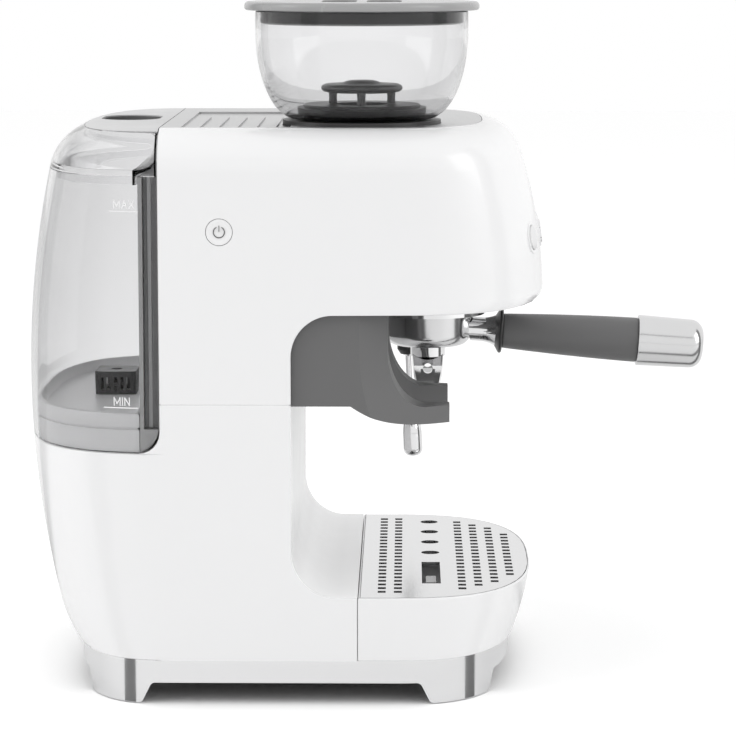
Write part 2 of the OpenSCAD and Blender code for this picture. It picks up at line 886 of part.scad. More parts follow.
module hopper_guard() {
    z = seat_z + bowl_t + base_t;
    color(dark) translate([-hopper_x, -hopper_y, z]) {
        translate([0, 0, guard_gap]) rotate_extrude($fn = 64) polygon([
            [0, 0], [guard_r - 3, 0], [guard_r, 1.5], [guard_r, guard_t - 2], [guard_r - 2, guard_t],
            [11, guard_t], [9, guard_t + 2], [0, guard_t + 2]
        ]);
        for (a = [60:120:300]) {
            rotate([0, 0, a]) translate([guard_r - 4, 0, 0])
                cylinder(h = guard_gap + eps, r = guard_leg_r, $fn = 32);
        }
        difference() {
            cylinder(h = 2, r = seat_r - 4, $fn = 64);
            translate([0, 0, -1]) cylinder(h = 4, r = throat_r, $fn = 64);
        }
    }
}

plug_h = 8;
plug_t = 3;
grip_w = 6;
grip_l1 = 20;
grip_l2 = 52;
grip_d = 3.6;

module hopper_lid() {
    low = seat_z + hopper_h + gap;
    color([0.6, 0.6, 0.6]) difference() {
        union() {
            translate([-hopper_x, -hopper_y, low]) rotate_extrude($fn = 96) polygon(concat(
                [[0, 0], [hopper_lid_r - 1.5, 0], [hopper_lid_r, 1.5]],
                [for (a = [0:30:90]) [hopper_lid_r - 2.5 + 2.5 * cos(a), hopper_lid_t - 2.5 + 2.5 * sin(a)]],
                [[0, hopper_lid_t]]
            ));
            ring(-hopper_x, -hopper_y, low - plug_h, low + eps, hopper_r - bowl_t - 1.4,
                hopper_r - bowl_t - 1.4 - plug_t);
        }
        for (side = [-1, 1]) {
            y = -hopper_y + side * (grip_w + grip_l1) / 2;
            translate([-hopper_x, y, low + hopper_lid_t - grip_d]) {
                translate([-grip_l2 / 2, -grip_l1 / 2, 0]) cube([grip_l2, grip_l1, grip_d + 1]);
                for (end = [-1, 1]) {
                    translate([end * grip_l2 / 2, 0, 0])
                        cylinder(h = grip_d + 1, r = grip_l1 / 2, $fn = 48);
                }
            }
        }
    }
}

module lid_seal() {
    low = seat_z + hopper_h + gap;
    r = hopper_r - bowl_t - 0.1;
    color([0.7, 0.7, 0.7]) ring(-hopper_x, -hopper_y, low - plug_h + 1, low - 1, r, r - 1.3);
}

module hopper_collar() {
    color(dark) ring(-hopper_x, -hopper_y, carrier_top, seat_z - gap, collar_r, carrier_r + 1.5);
}

// ---- Grinder -------------------------------------------------------------

shaft_r = 4;
gear_z = 238;
bracket_z = gear_z + gear_t + 3;
bracket_t = 4;
housing_r = 31;
bearing_r = 9;
bearing_t = 6;
chamber_z = 279;
chamber_r = 24;
burr_z = 288;
carrier_r = 27;
carrier_top = 316;
key_r = 2.5;
key_h = 3;
key_play = 0.9;
post_r = 4;
outlet_h = 6;
idler_y = -hopper_y + gear_m * (shaft_teeth + idler_teeth) / 2;
motor_y = idler_y + gear_m * (idler_teeth + pinion_teeth) / 2;
motor_z = bracket_z + bracket_t;
motor_h = 52;
idler_pin_r = 3;
run_fit = 0.05;

module grinder_housing() {
    color([0.75, 0.75, 0.76]) difference() {
        union() {
            rod(-hopper_x, -hopper_y, bracket_z, carrier_top, housing_r);
            translate([0, 0, bracket_z]) linear_extrude(bracket_t) hull() {
                translate([-hopper_x, -hopper_y]) circle(r = housing_r + 8, $fn = 48);
                translate([-hopper_x, motor_y]) circle(r = motor_r + 8, $fn = 48);
            }
            for (x = [-1, 1], y = [-hopper_y - 8, motor_y + 8]) {
                rod(-hopper_x + x * (housing_r + 1), y, lining_z + lining_t, bracket_z + eps, post_r);
            }
            block(
                [-hopper_x - outlet_r, -outlet_y, bracket_z],
                [-hopper_x + outlet_r, -hopper_y, chamber_z + outlet_h + 2]
            );
            rod(-hopper_x, -outlet_y, bracket_z, chamber_z + outlet_h + 2, outlet_r);
            rod(-hopper_x, idler_y, gear_z - 2, bracket_z + eps, idler_pin_r - run_fit);
            rod(-hopper_x, idler_y, gear_z - 2, gear_z - 0.6, idler_pin_r + 1.5);
            rod(-hopper_x, idler_y, gear_z + gear_t + 0.5, bracket_z + eps, idler_pin_r + 2);
        }
        rod(-hopper_x, -hopper_y, bracket_z - 1, carrier_top, shaft_r + 1);
        rod(-hopper_x, -hopper_y, bracket_z - 1, bracket_z + bearing_t, bearing_r);
        rod(-hopper_x, -hopper_y, chamber_z - bearing_t, chamber_z + 1, bearing_r);
        rod(-hopper_x, -hopper_y, chamber_z, burr_z - 1, chamber_r);
        rod(-hopper_x, -hopper_y, burr_z - 1.01, carrier_top, carrier_r + gap);
        rod(-hopper_x, -outlet_y, bracket_z - 1, chamber_z + outlet_h, chute_r);
        block([-hopper_x - chute_r, -outlet_y, chamber_z],
            [-hopper_x + chute_r, -hopper_y, chamber_z + outlet_h]);
        rod(-hopper_x, motor_y, bracket_z - 1, motor_z + 1, motor_boss_r + gap);
    }
}

motor_boss_r = 8;
motor_shaft_r = 2;

module burr_carrier() {
    color(dark) {
        difference() {
            rod(-hopper_x, -hopper_y, burr_z, carrier_top, carrier_r);
            rod(-hopper_x, -hopper_y, burr_z - 1, burr_z + burr_h, burr_r);
            rod(-hopper_x, -hopper_y, burr_z, carrier_top + 1, throat_r - 2);
            translate([-hopper_x, -hopper_y, burr_z + burr_h - eps])
                cylinder(h = 4, r1 = burr_r - 4, r2 = throat_r - 2.2, $fn = 64);
        }
        for (a = [0:120:240]) {
            translate([-hopper_x, -hopper_y, 0]) rotate([0, 0, a])
                rod(throat_r + 5, 0, carrier_top - eps, carrier_top + key_h, key_r);
        }
    }
}

burr_gap = 0.8;
cone_low = burr_r - 5.5;
cone_high = 6.5;
mouth = 5;
ring_cut = 2.4;
coarse_cut = 4.4;
coarse_from = 4;
fine_cut = 1.8;
fine_h = 9;

// Square bars standing on edge round the burrs' axis, each with its inner edge starting at
// radius r and height z, twisted round the axis and leaning in
module tooth_bars(count, r, z, h, w, twist, lean) {
    for (i = [0:count - 1]) {
        translate([-hopper_x, -hopper_y, z]) rotate([0, 0, i * 360 / count]) translate([r, 0, 0])
            rotate([twist, -lean, 0]) rotate([0, 0, -45]) cube([w, w, h]);
    }
}

module outer_burr() {
    bore_low = cone_low + burr_gap;
    bore_high = cone_high + burr_gap + mouth;
    lean = atan((bore_low - bore_high) / burr_h);
    color(steel) difference() {
        rod(-hopper_x, -hopper_y, burr_z, burr_z + burr_h, burr_r);
        translate([-hopper_x, -hopper_y, burr_z - eps])
            cylinder(h = burr_h + 2 * eps, r1 = bore_low, r2 = bore_high, $fn = 96);
        tooth_bars(ring_teeth, bore_low - ring_cut, burr_z - 1, burr_h + 4, ring_cut, 12, lean);
    }
}

module inner_burr() {
    lean = atan((cone_low - cone_high) / burr_h);
    color(steel) difference() {
        union() {
            translate([-hopper_x, -hopper_y, burr_z])
                cylinder(h = burr_h, r1 = cone_low, r2 = cone_high, $fn = 96);
            rod(-hopper_x, -hopper_y, burr_z - 4, burr_z + eps, cone_low);
        }
        rod(-hopper_x, -hopper_y, burr_z - 5, burr_z + burr_h + 1, shaft_r);
        tooth_bars(burr_teeth, cone_low - 2.2, burr_z + coarse_from, burr_h + 4, coarse_cut, -14, lean + 6);
        tooth_bars(ring_teeth, cone_low - 0.9, burr_z - 5, fine_h, fine_cut, -8, 0);
    }
}

module burr_shaft() {
    color(steel) {
        rod(-hopper_x, -hopper_y, gear_z - 3, burr_z + burr_h + 3, shaft_r);
        translate([-hopper_x, -hopper_y, burr_z + burr_h])
            cylinder(h = 6, r1 = cone_high, r2 = 2, $fn = 48);
        rod(-hopper_x, -hopper_y, chamber_z + 0.5, burr_z - 4, chamber_r - 10);
        for (a = [0:90:270]) {
            translate([-hopper_x, -hopper_y, chamber_z + 0.5]) rotate([0, 0, a])
                translate([8, -1.5, 0]) cube([chamber_r - 8.6, 3, 4]);
        }
    }
}

module shaft_bearings() {
    color(steel) {
        ring(-hopper_x, -hopper_y, bracket_z, bracket_z + bearing_t, bearing_r, shaft_r + run_fit);
        ring(-hopper_x, -hopper_y, chamber_z - bearing_t, chamber_z, bearing_r, shaft_r + run_fit);
    }
}

// Involute tooth flank: point at radius r of a gear with base radius rb
function roll(r, rb) = sqrt(max(0, r * r / (rb * rb) - 1));
function inv_angle(r, rb) = roll(r, rb) * 180 / PI - atan(roll(r, rb));
function polar(r, a) = [r * cos(a), r * sin(a)];

pressure = 20;
backlash = 0.12;
flank_steps = 3;

// Outline of a spur gear with a tooth centred on +X
function gear_outline(teeth, m) =
    let (
        pitch_r = m * teeth / 2,
        rb = pitch_r * cos(pressure),
        tip = pitch_r + 0.95 * m,
        root = pitch_r - 1.2 * m,
        start = max(rb, root),
        half = 90 / teeth - backlash * 90 / (PI * pitch_r) + inv_angle(pitch_r, rb)
    )
    [
        for (i = [0:teeth - 1])
            let (c = i * 360 / teeth)
            each concat(
                [polar(root, c - half)],
                [for (k = [0:flank_steps])
                    let (r = start + (tip - start) * k / flank_steps) polar(r,
                        c - half + inv_angle(r, rb))],
                [for (k = [flank_steps:-1:0])
                    let (r = start + (tip - start) * k / flank_steps) polar(r,
                        c + half - inv_angle(r, rb))],
                [polar(root, c + half)]
            )
    ];

module spur_gear(y, teeth, phase, bore) {
    difference() {
        translate([-hopper_x, y, gear_z]) rotate([0, 0, phase])
            linear_extrude(gear_t) polygon(gear_outline(teeth, gear_m));
        rod(-hopper_x, y, gear_z - 1, gear_z + gear_t + 1, bore);
    }
}

module burr_gear() {
    color(brass) spur_gear(-hopper_y, shaft_teeth, 0, shaft_r);
}

module idler_gear() {
    color([0.9, 0.9, 0.86]) spur_gear(idler_y, idler_teeth, 180 / idler_teeth, idler_pin_r);
}

module motor_pinion() {
    color(brass) {
        spur_gear(motor_y, pinion_teeth, 0, motor_shaft_r);
        rod(-hopper_x, motor_y, gear_z - 1, motor_z + motor_h - 4, motor_shaft_r);
        rod(-hopper_x, motor_y, motor_z + 8, motor_z + motor_h - 12, motor_r - 6);
    }
}

module grinder_motor() {
    color([0.7, 0.7, 0.72]) {
        difference() {
            union() {
                rod(-hopper_x, motor_y, motor_z, motor_z + motor_h, motor_r);
                rod(-hopper_x, motor_y, bracket_z, motor_z + eps, motor_boss_r);
            }
            rod(-hopper_x, motor_y, bracket_z - 1, motor_z + motor_h - 3, motor_shaft_r + run_fit);
            rod(-hopper_x, motor_y, motor_z + 4, motor_z + motor_h - 8, motor_r - 4);
        }
    }
}

chute_drop = 8;

module grounds_chute() {
    color(dark) difference() {
        union() {
            rod(-hopper_x, -outlet_y, head_z - chute_drop, bracket_z, outlet_r);
            rod(-hopper_x, -outlet_y, lining_z + lining_t, lining_z + lining_t + 2, outlet_r + 3);
        }
        rod(-hopper_x, -outlet_y, head_z - chute_drop - 1, bracket_z + 1, chute_r);
    }
}

// ---- Group and filter holder ---------------------------------------------

holder_h = 29;
rim_r = holder_r + 1.5;
rim_h = 5;
lug_r = rim_r + 4.5;
lug_h = 4;
lug_angle = 36;
lug_z = holder_z + holder_h - rim_h;
holder_top = holder_z + holder_h;
group_low = lug_z - 4;
flange_h = 3.6;
group_top = 240;
gasket_t = 5;
screen_r = 22;
basket_r = holder_r - 2.6;
basket_t = 0.8;
basket_h = 22;
lip_w = 2.4;

// A sector of a ring round the Z axis, from angle -a / 2 to a / 2
module sector(r_out, r_in, h, a) {
    rotate([0, 0, -a / 2])
        rotate_extrude(angle = a, $fn = 96) translate([r_in, 0]) square([r_out - r_in, h]);
}

module at_group() {
    translate([group_x, -group_y, 0]) children();
}

module group_head() {
    color(steel) at_group() difference() {
        union() {
            translate([0, 0, group_low]) cylinder(h = group_top - group_low, r = group_r, $fn = 96);
            for (a = [90, 180, 270]) {
                rotate([0, 0, a]) translate([0, 0, lining_z + lining_t])
                    sector(group_r + 6, group_r - 2, 3, 30);
            }
        }
        translate([0, 0, group_low - 1]) cylinder(h = flange_h + 2, r = rim_r + 0.4, $fn = 96);
        translate([0, 0, group_low + flange_h]) cylinder(h = lug_h + 1, r = lug_r + 0.4, $fn = 96);
        translate([0, 0, lug_z]) cylinder(h = rim_h + gasket_t, r = rim_r + 2, $fn = 96);
        for (side = [0, 180]) {
            rotate([0, 0, side - holder_turn]) translate([0, 0, group_low - 1])
                sector(lug_r + 0.4, rim_r - 1, flange_h + 2, lug_angle + 4);
        }
        translate([0, 0, holder_top + gap]) cylinder(h = gasket_t + 3, r = screen_r + 1, $fn = 64);
    }
}

module group_gasket() {
    color(dark) at_group() difference() {
        translate([0, 0, holder_top + gap]) cylinder(h = gasket_t - gap, r = rim_r + 2, $fn = 96);
        translate([0, 0, holder_top]) cylinder(h = gasket_t + 1, r = screen_r + 1, $fn = 96);
    }
}

module shower_screen() {
    z = holder_top + gap + 1.5;
    color(steel) at_group() difference() {
        union() {
            translate([0, 0, z]) cylinder(h = 1.2, r = screen_r, $fn = 64);
            translate([0, 0, z]) cylinder(h = gasket_t + 3 - 1.5, r = 5, $fn = 48);
        }
        for (r = [8.5, 12, 15.5, 19], k = [0:r * 1.2]) {
            rotate([0, 0, k * 360 / (floor(r * 1.2) + 1)]) translate([r, 0, z - 1])
                cylinder(h = 3, r = 0.7, $fn = 16);
        }
        translate([0, 0, z - 1]) cylinder(h = gasket_t + 6, r = screw_r, $fn = 64);
    }
}

screw_r = 2.5;
screw_head_r = 4.6;
screw_head_h = 1.4;

module screen_screw() {
    z = holder_top + gap + 1.5;
    color(steel) at_group() {
        rod(0, 0, z, z + gasket_t + 1.5, screw_r);
        difference() {
            translate([0, 0, z - screw_head_h])
                cylinder(h = screw_head_h, r1 = 3.4, r2 = screw_head_r, $fn = 32);
            block([-5, -0.5, z - 2], [5, 0.5, z - 0.8]);
        }
    }
}

floor_t = 3;
edge_r = 7;
outlet_hole = 6;

module portafilter_body() {
    color(steel) at_group() {
        difference() {
            translate([0, 0, holder_z]) rotate_extrude($fn = 96) polygon(concat(
                [[0, 0]],
                [for (a = [0:22.5:90]) [holder_r - edge_r + edge_r * sin(a), edge_r - edge_r * cos(a)]],
                [[holder_r, holder_h - rim_h], [rim_r, holder_h - rim_h], [rim_r, holder_h], [0, holder_h]]
            ));
            translate([0, 0, holder_z + floor_t])
                cylinder(h = holder_h, r = basket_r + 0.3, $fn = 96);
            translate([0, 0, holder_top - basket_t]) cylinder(h = 2, r = basket_r + lip_w + 0.2, $fn = 96);
            translate([0, 0, holder_z - 1]) cylinder(h = floor_t + 2, r = outlet_hole, $fn = 48);
        }
        for (side = [0, 180]) {
            rotate([0, 0, side]) translate([0, 0, lug_z])
                sector(lug_r, rim_r - 1, lug_h, lug_angle);
        }
    }
}

module filter_basket() {
    low = holder_top - basket_h;
    color(steel) at_group() difference() {
        union() {
            translate([0, 0, low]) cylinder(h = basket_h, r = basket_r, $fn = 96);
            translate([0, 0, holder_top - basket_t]) cylinder(h = basket_t, r = basket_r + lip_w, $fn = 96);
        }
        translate([0, 0, low + basket_t]) cylinder(h = basket_h, r = basket_r - basket_t, $fn = 96);
        for (r = [5, 9, 13, 17], k = [0:r * 0.9]) {
            rotate([0, 0, k * 360 / (floor(r * 0.9) + 1)]) translate([r, 0, low - 1])
                cylinder(h = 3, r = 0.6, $fn = 16);
        }
    }
}

neck_axis_z = holder_z + 11.6;
neck_r0 = 7.5;
flange_s = 42.2;
flange_t = 4.5;
flange_r = 14;
flange_rim = 2.4;
neck_flare = 2.2;
tang_r = 4;
grip_s = flange_s + flange_t;

// Places things along the handle: local +Z runs out along the sloping handle
module along_handle(s) {
    translate([group_x, -group_y, neck_axis_z])
        rotate([90 + handle_slope, 0, 0]) translate([0, 0, s]) children();
}

module portafilter_neck() {
    color(steel) difference() {
        union() {
            along_handle(0) cylinder(h = flange_s, r = neck_r0, $fn = 64);
            along_handle(flange_s - 6) cylinder(h = 6, r1 = neck_r0, r2 = neck_r0 + neck_flare, $fn = 64);
            along_handle(flange_s - eps) cylinder(h = grip_l - 20, r = tang_r, $fn = 48);
        }
        at_group() translate([0, 0, holder_z - 20]) cylinder(h = holder_h + 40, r = holder_r, $fn = 96);
    }
}

module handle_flange() {
    color(dark) along_handle(flange_s) rotate_extrude($fn = 64) polygon(concat(
        [[tang_r, 0], [neck_r0 + neck_flare, 0]],
        [for (a = [-60:30:90])
            [flange_r - flange_rim * (1 - cos(a)) / 2, flange_t - flange_rim * (1 - sin(a)) / 2]],
        [[tang_r, flange_t]]
    ));
}

// Radius of the grip a share t of the way along it
function grip_rad(t) = grip_r1 + (grip_r2 - grip_r1) * (1 - pow(1 - t, 1.6));

module handle_grip() {
    color(grey) difference() {
        along_handle(grip_s) rotate_extrude($fn = 64) polygon(concat(
            [[0, 0]],
            [for (k = [0:10]) [grip_rad(k / 10), grip_l * k / 10]],
            [[0, grip_l]]
        ));
        along_handle(grip_s - 1) cylinder(h = grip_l - 19, r = tang_r, $fn = 48);
    }
}

cap_round = 8;
cap_taper = 0.7;

module handle_cap() {
    color(steel) along_handle(grip_s + grip_l) rotate_extrude($fn = 64) polygon(concat(
        [[0, 0], [cap_r - 1, 0], [cap_r, 1]],
        [for (a = [0:15:90])
            [cap_r - cap_taper - cap_round + cap_round * cos(a), cap_l - cap_round + cap_round * sin(a)]],
        [[0, cap_l]]
    ));
}

spout_w = 19.5;
spout_half = 21;
spout_drop = 34;
spout_hole_z = 171.2;
spout_hole_r = 3.2;
spout_arm_h = 6;
spout_arm_z = holder_z - 17;
spout_ring_h = 7;
leg_w = 9.6;
leg_d = 7;
leg_bore = 5.6;

// One half of the double spout: a sloping arm and the leg that hangs from its end
module spout_side(side) {
    hull() {
        translate([side * 0.5 - 0.5, -spout_w / 2, holder_z - 12]) cube([1, spout_w, 8]);
        translate([side * (spout_half - 3), -spout_w / 2 + 1, spout_arm_z])
            cube([2, spout_w - 2, spout_arm_h]);
    }
    hull() {
        translate([side * (spout_half - 5) - 4, -spout_w / 2 + 1, spout_arm_z])
            cube([8, spout_w - 2, spout_arm_h]);
        translate([side * (spout_half - 3) - leg_d / 2, -leg_w / 2, holder_z - spout_drop])
            cube([leg_d, leg_w, 2]);
    }
}

module double_spout() {
    color(steel) at_group() difference() {
        union() {
            rod(0, 0, holder_z - 5, holder_z + floor_t, outlet_hole);
            rod(0, 0, holder_z - spout_ring_h, holder_z, spout_w / 2 + 1);
            for (side = [-1, 1]) spout_side(side);
        }
        for (side = [-1, 1]) {
            hull() {
                translate([side * (spout_half - 1) - 3, -leg_w / 2 + 0.4, holder_z - 14])
                    cube([8, leg_w - 0.8, 1]);
                translate([side * spout_half - 3, -leg_bore / 2, holder_z - spout_drop - 1])
                    cube([8, leg_bore, 1]);
            }
            translate([side * 6 - 4, -4, holder_z - 14]) cube([8, 8, 6]);
        }
        translate([-spout_half - 10, 0, spout_hole_z])
            rotate([0, 90, 0]) cylinder(h = 2 * spout_half + 20, r = spout_hole_r, $fn = 48);
        rod(0, 0, holder_z - 9, holder_z + 11, outlet_hole - 2);
    }
}

// ---- Water, heat and control ---------------------------------------------

heater_w = 74;
heater_d = 70;
heater_h = 44;
heater_fin = 4;
fin_w = 6;
fin_pitch = 12;
pipe_r = 6;
pipe_h = 12;
pipe_bore = 2.5;
cutout_r = 9;
cutout_h = 8;
fitting_x = 16;

module coffee_heater() {
    z = group_top;
    core = heater_w / 2 - heater_fin;
    color([0.7, 0.7, 0.7]) at_group() difference() {
        union() {
            block([-core, heater_fin - heater_d / 2, z], [core, heater_d / 2 + heater_fin, z + heater_h]);
            for (k = [0:4]) {
                y = 2 * heater_fin - heater_d / 2 + k * fin_pitch;
                block([-heater_w / 2, y, z + fin_w], [heater_w / 2, y + fin_w, z + heater_h - fin_w]);
            }
            rod(-fitting_x, fin_pitch, z + heater_h - eps, z + heater_h + pipe_h, pipe_r);
            rod(fitting_x, fin_pitch, z + heater_h - eps, z + heater_h + cutout_h, cutout_r);
        }
        rod(-fitting_x, fin_pitch, z + heater_h - fin_w, z + heater_h + pipe_h + 1, pipe_bore);
    }
}

pump_r = 19;
pump_l = 52;
pump_x = 60;
pump_y = 40;
pump_foot = 8;
pump_foot_r = 4;
pump_foot_in = 12;
pump_head_r = 8;
pump_head_h = 20;
nozzle_r = 3.5;
nozzle_h = 14;

module water_pump() {
    z = plate_z + plate_t + pump_foot;
    top = z + pump_l + pump_head_h;
    color([0.75, 0.72, 0.6]) {
        rod(pump_x, pump_y, z, z + pump_l, pump_r);
        rod(pump_x, pump_y, z + pump_l - eps, top, pump_head_r);
        rod(pump_x, pump_y, top - eps, top + nozzle_h, nozzle_r);
        for (x = [-1, 1], y = [-1, 1]) {
            rod(pump_x + x * pump_foot_in, pump_y + y * pump_foot_in, z - pump_foot, z + eps, pump_foot_r);
        }
    }
}

board_w = 110;
board_h = 80;
board_t = 1.6;
board_stud = 8;
board_lift = 24;
stud_r = 3;
stud_in = 6;
relay_w = 14;
relay_pitch = 24;
relay_h = 18;

module control_board() {
    y = tank_y - wall - board_stud;
    z = seam_z + board_lift;
    color([0.2, 0.42, 0.25]) {
        block([-board_w / 2, y - board_t, z], [board_w / 2, y, z + board_h]);
        for (x = [-1, 1], h = [stud_in, board_h - stud_in]) {
            translate([x * (board_w / 2 - stud_in), y - eps, z + h])
                rotate([-90, 0, 0]) cylinder(h = board_stud, r = stud_r, $fn = 32);
        }
        for (k = [-1.5:1:1.5]) {
            translate([k * relay_pitch - relay_w / 2, y - board_t - relay_w + eps, z + board_h / 4])
                cube([relay_w, relay_w, relay_h + 3 * k]);
        }
    }
}

// ---- Buttons -------------------------------------------------------------

button_h = 8;
button_l = 14;
cap_proud = 0.8;
button_stem_r = 4;
power_in = 0.2;
// The shallow dish in the power button's face, cut by a large ball
dish_r = power_r - 1.4;
dish_d = 0.5;
dish_ball = (dish_r * dish_r + dish_d * dish_d) / (2 * dish_d);

module power_button() {
    color(white) translate([-half_w, power_y, power_z]) rotate([0, 90, 0]) difference() {
        union() {
            translate([0, 0, power_in]) cylinder(h = wall + 3 - power_in, r = power_r, $fn = 64);
            translate([0, 0, wall + 3]) cylinder(h = button_l, r = button_stem_r, $fn = 32);
        }
        translate([0, 0, power_in + dish_d - dish_ball]) sphere(r = dish_ball, $fn = 128);
    }
}

module front_button(x) {
    color(steel) at_face(x) {
        translate([0, 0, -button_h]) cylinder(h = button_h + bezel_out + cap_proud, r = button_r, $fn = 64);
        translate([0, 0, -button_h - button_l]) cylinder(h = button_l + eps, r = button_stem_r, $fn = 32);
    }
}

module one_cup_button() {
    front_button(-1.5 * button_pitch);
}

module two_cup_button() {
    front_button(-0.5 * button_pitch);
}

module water_button() {
    front_button(0.5 * button_pitch);
}

module steam_button() {
    front_button(1.5 * button_pitch);
}

// ---- Steam wand ----------------------------------------------------------

ball_seat = 0.06;
tube_r = 1.9;
wand_lean = 3;
collar_low = wand_z - 2.6;
spigot_z = wand_z + ball_r + 1.2;
spigot_h = 8;
spigot_r = ball_r + 0.5;
steam_bore = 2;

module steam_port() {
    color(dark) difference() {
        union() {
            rod(wand_x, -wand_y, spigot_z + spigot_h + gap, head_z + 14, port_r);
            rod(wand_x, -wand_y, spigot_z, head_z, spigot_r);
            translate([wand_x, -wand_y, lining_z + lining_t]) sector(port_r + 4, port_r - 1, 2, 150);
        }
        rod(wand_x, -wand_y, spigot_z - 1, head_z + 20, steam_bore);
    }
}

module steam_collar() {
    color(dark) difference() {
        translate([wand_x, -wand_y, 0]) rotate_extrude($fn = 64) polygon([
            [0, collar_low], [port_r - 2, collar_low], [port_r, collar_low + 3],
            [port_r, spigot_z + spigot_h], [0, spigot_z + spigot_h]
        ]);
        translate([wand_x, -wand_y, wand_z]) sphere(r = ball_r + ball_seat, $fn = 64);
        rod(wand_x, -wand_y, wand_z, spigot_z, ball_r + ball_seat);
        rod(wand_x, -wand_y, spigot_z - 0.5, spigot_z + spigot_h + 1, spigot_r + run_fit);
        rod(wand_x, -wand_y, collar_low - 1, wand_z, ball_r - 0.7);
    }
}

// Places things along the wand: local +Z runs down it from the ball
module along_wand(s) {
    translate([wand_x, -wand_y, wand_z]) rotate([180 - wand_lean, 0, 0]) translate([0, 0, s]) children();
}

module steam_tube() {
    color(steel) {
        translate([wand_x, -wand_y, wand_z]) sphere(r = ball_r, $fn = 64);
        along_wand(0) cylinder(h = wand_l - 8, r = tube_r, $fn = 48);
    }
}

sleeve_l = 31;
sleeve_taper = 14;
sleeve_round = 5;

module steam_sleeve() {
    l = sleeve_l;
    mouth_r = tube_r + 0.8;
    color(steel) along_wand(wand_l - l) difference() {
        rotate_extrude($fn = 64) polygon(concat(
            [[0, 0]],
            [for (k = [0:5]) [mouth_r + (sleeve_r - mouth_r) * sin(18 * k), sleeve_taper * k / 5]],
            [for (a = [0:22.5:90])
                [sleeve_r - sleeve_round + sleeve_round * cos(a), l - sleeve_round + sleeve_round * sin(a)]],
            [[0, l]]
        ));
        translate([0, 0, -1]) cylinder(h = l - 7, r = tube_r, $fn = 48);
        translate([0, 0, l - 9]) cylinder(h = 10, r = 0.8, $fn = 16);
    }
}

// ---- Drip tray -----------------------------------------------------------

tray_low = base_z + gap;
tray_floor = 3;
tray_wall = 3;
rim_gap = 0.4;
slot_w = 4.6;
slot_l = 5.2;
slot_edge = 12;
rear_rows = [-55.7, -65];
front_rows = [-102.3, -111.9, -121.5, -131.1];
window_y = 84.5;
window_w = 11;
window_x = 55;
window_l = 60;
oval_pitch = 32;
oval_l = 10;
grate_rib_h = 9;
grate_rib_half = half_w - 45;

// Plan of the drip tray at height z, drawn in by inset
function tray_plan(z, inset, steps = end_steps) = concat(
    [[half_w - inset, -tray_seam - gap - inset], [-half_w + inset, -tray_seam - gap - inset]],
    plan_end(-half_w + inset, front_start, tray_at(z) + inset, steps)
);

// Half the width of the tray's rim at y
function tray_half(y) =
    let (v = max(0, (y - front_start) / (tray_at(tray_z) - front_start)))
    half_w * pow(max(0, 1 - pow(v, plan_power)), 1 / plan_power);

module drip_tray() {
    color(white) difference() {
        loft([for (z = spread(tray_low, tray_z, 5)) at_z(tray_plan(z, 0), z)]);
        loft([
            for (z = spread(tray_low + tray_floor, tray_z + 1, 3))
                at_z(tray_plan(min(z, tray_z), tray_wall, inner_steps), z)
        ]);
        translate([0, 0, tray_z - grate_t - gap]) linear_extrude(tray_z) polygon(tray_plan(tray_z, 1));
    }
}

module slot_row(y) {
    n = floor((tray_half(y - slot_w) - slot_edge) / slot_pitch);
    for (i = [-n:n]) {
        translate([i * slot_pitch - slot_l / 2, y - slot_w / 2, tray_z - grate_t - 1])
            cube([slot_l, slot_w, grate_t + 2]);
    }
}

module drip_grate() {
    low = tray_z - grate_t;
    color(steel) difference() {
        union() {
            translate([0, 0, low]) linear_extrude(grate_t) polygon(tray_plan(tray_z, 1 + rim_gap));
            for (y = [-window_y - window_w, -window_y + window_w]) {
                block([-grate_rib_half, y - 1, low - grate_rib_h], [grate_rib_half, y + 1, low + eps]);
            }
        }
        for (y = concat(rear_rows, front_rows)) slot_row(y);
        block(
            [-window_x - window_l / 2, -window_y - window_w / 2, low - 1],
            [-window_x + window_l / 2, -window_y + window_w / 2, tray_z + 1]
        );
        for (k = [0:3]) {
            x = 3 + k * oval_pitch;
            translate([x, -window_y - (window_w - oval_l) / 2, low - 1])
                cylinder(h = 4, r = oval_l / 2, $fn = 32);
            translate([x, -window_y + (window_w - oval_l) / 2, low - 1])
                cylinder(h = 4, r = oval_l / 2, $fn = 32);
        }
    }
}

float_l = window_l - 5;
float_w = window_w - 3;
float_top = tray_z - 4;

module drip_float() {
    color([0.45, 0.45, 0.46]) {
        block(
            [-window_x - float_l / 2, -window_y - float_w / 2, tray_low + tray_floor + gap],
            [-window_x + float_l / 2, -window_y + float_w / 2, float_top - 8]
        );
        block(
            [-window_x - 9, -window_y - float_w / 2 + 1, float_top - 8 - eps],
            [-window_x + 9, -window_y + float_w / 2 - 1, float_top]
        );
    }
}

// ---- Every node ----------------------------------------------------------

base_frame();
foot_pads();
base_plate();
lower_body();
upper_body();
head_lining();
grinder_cradle();
grind_trigger();
top_plate();
tank_panel();
tank_socket();
cord_gland();
tank_shell();
tank_lid();
tank_valve();
valve_spring();
tank_filter();
hopper_bowl();
hopper_base();
hopper_guard();
hopper_lid();
lid_seal();
hopper_collar();
grinder_housing();
burr_carrier();
outer_burr();
inner_burr();
burr_shaft();
shaft_bearings();
burr_gear();
idler_gear();
motor_pinion();
grinder_motor();
grounds_chute();
group_head();
group_gasket();
shower_screen();
screen_screw();
portafilter_body();
filter_basket();
portafilter_neck();
double_spout();
handle_flange();
handle_grip();
handle_cap();
coffee_heater();
water_pump();
control_board();
power_button();
one_cup_button();
two_cup_button();
water_button();
steam_button();
steam_port();
steam_collar();
steam_tube();
steam_sleeve();
drip_tray();
drip_grate();
drip_float();
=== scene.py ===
import json
import math
import bmesh
import bpy
from mathutils import Matrix, Vector

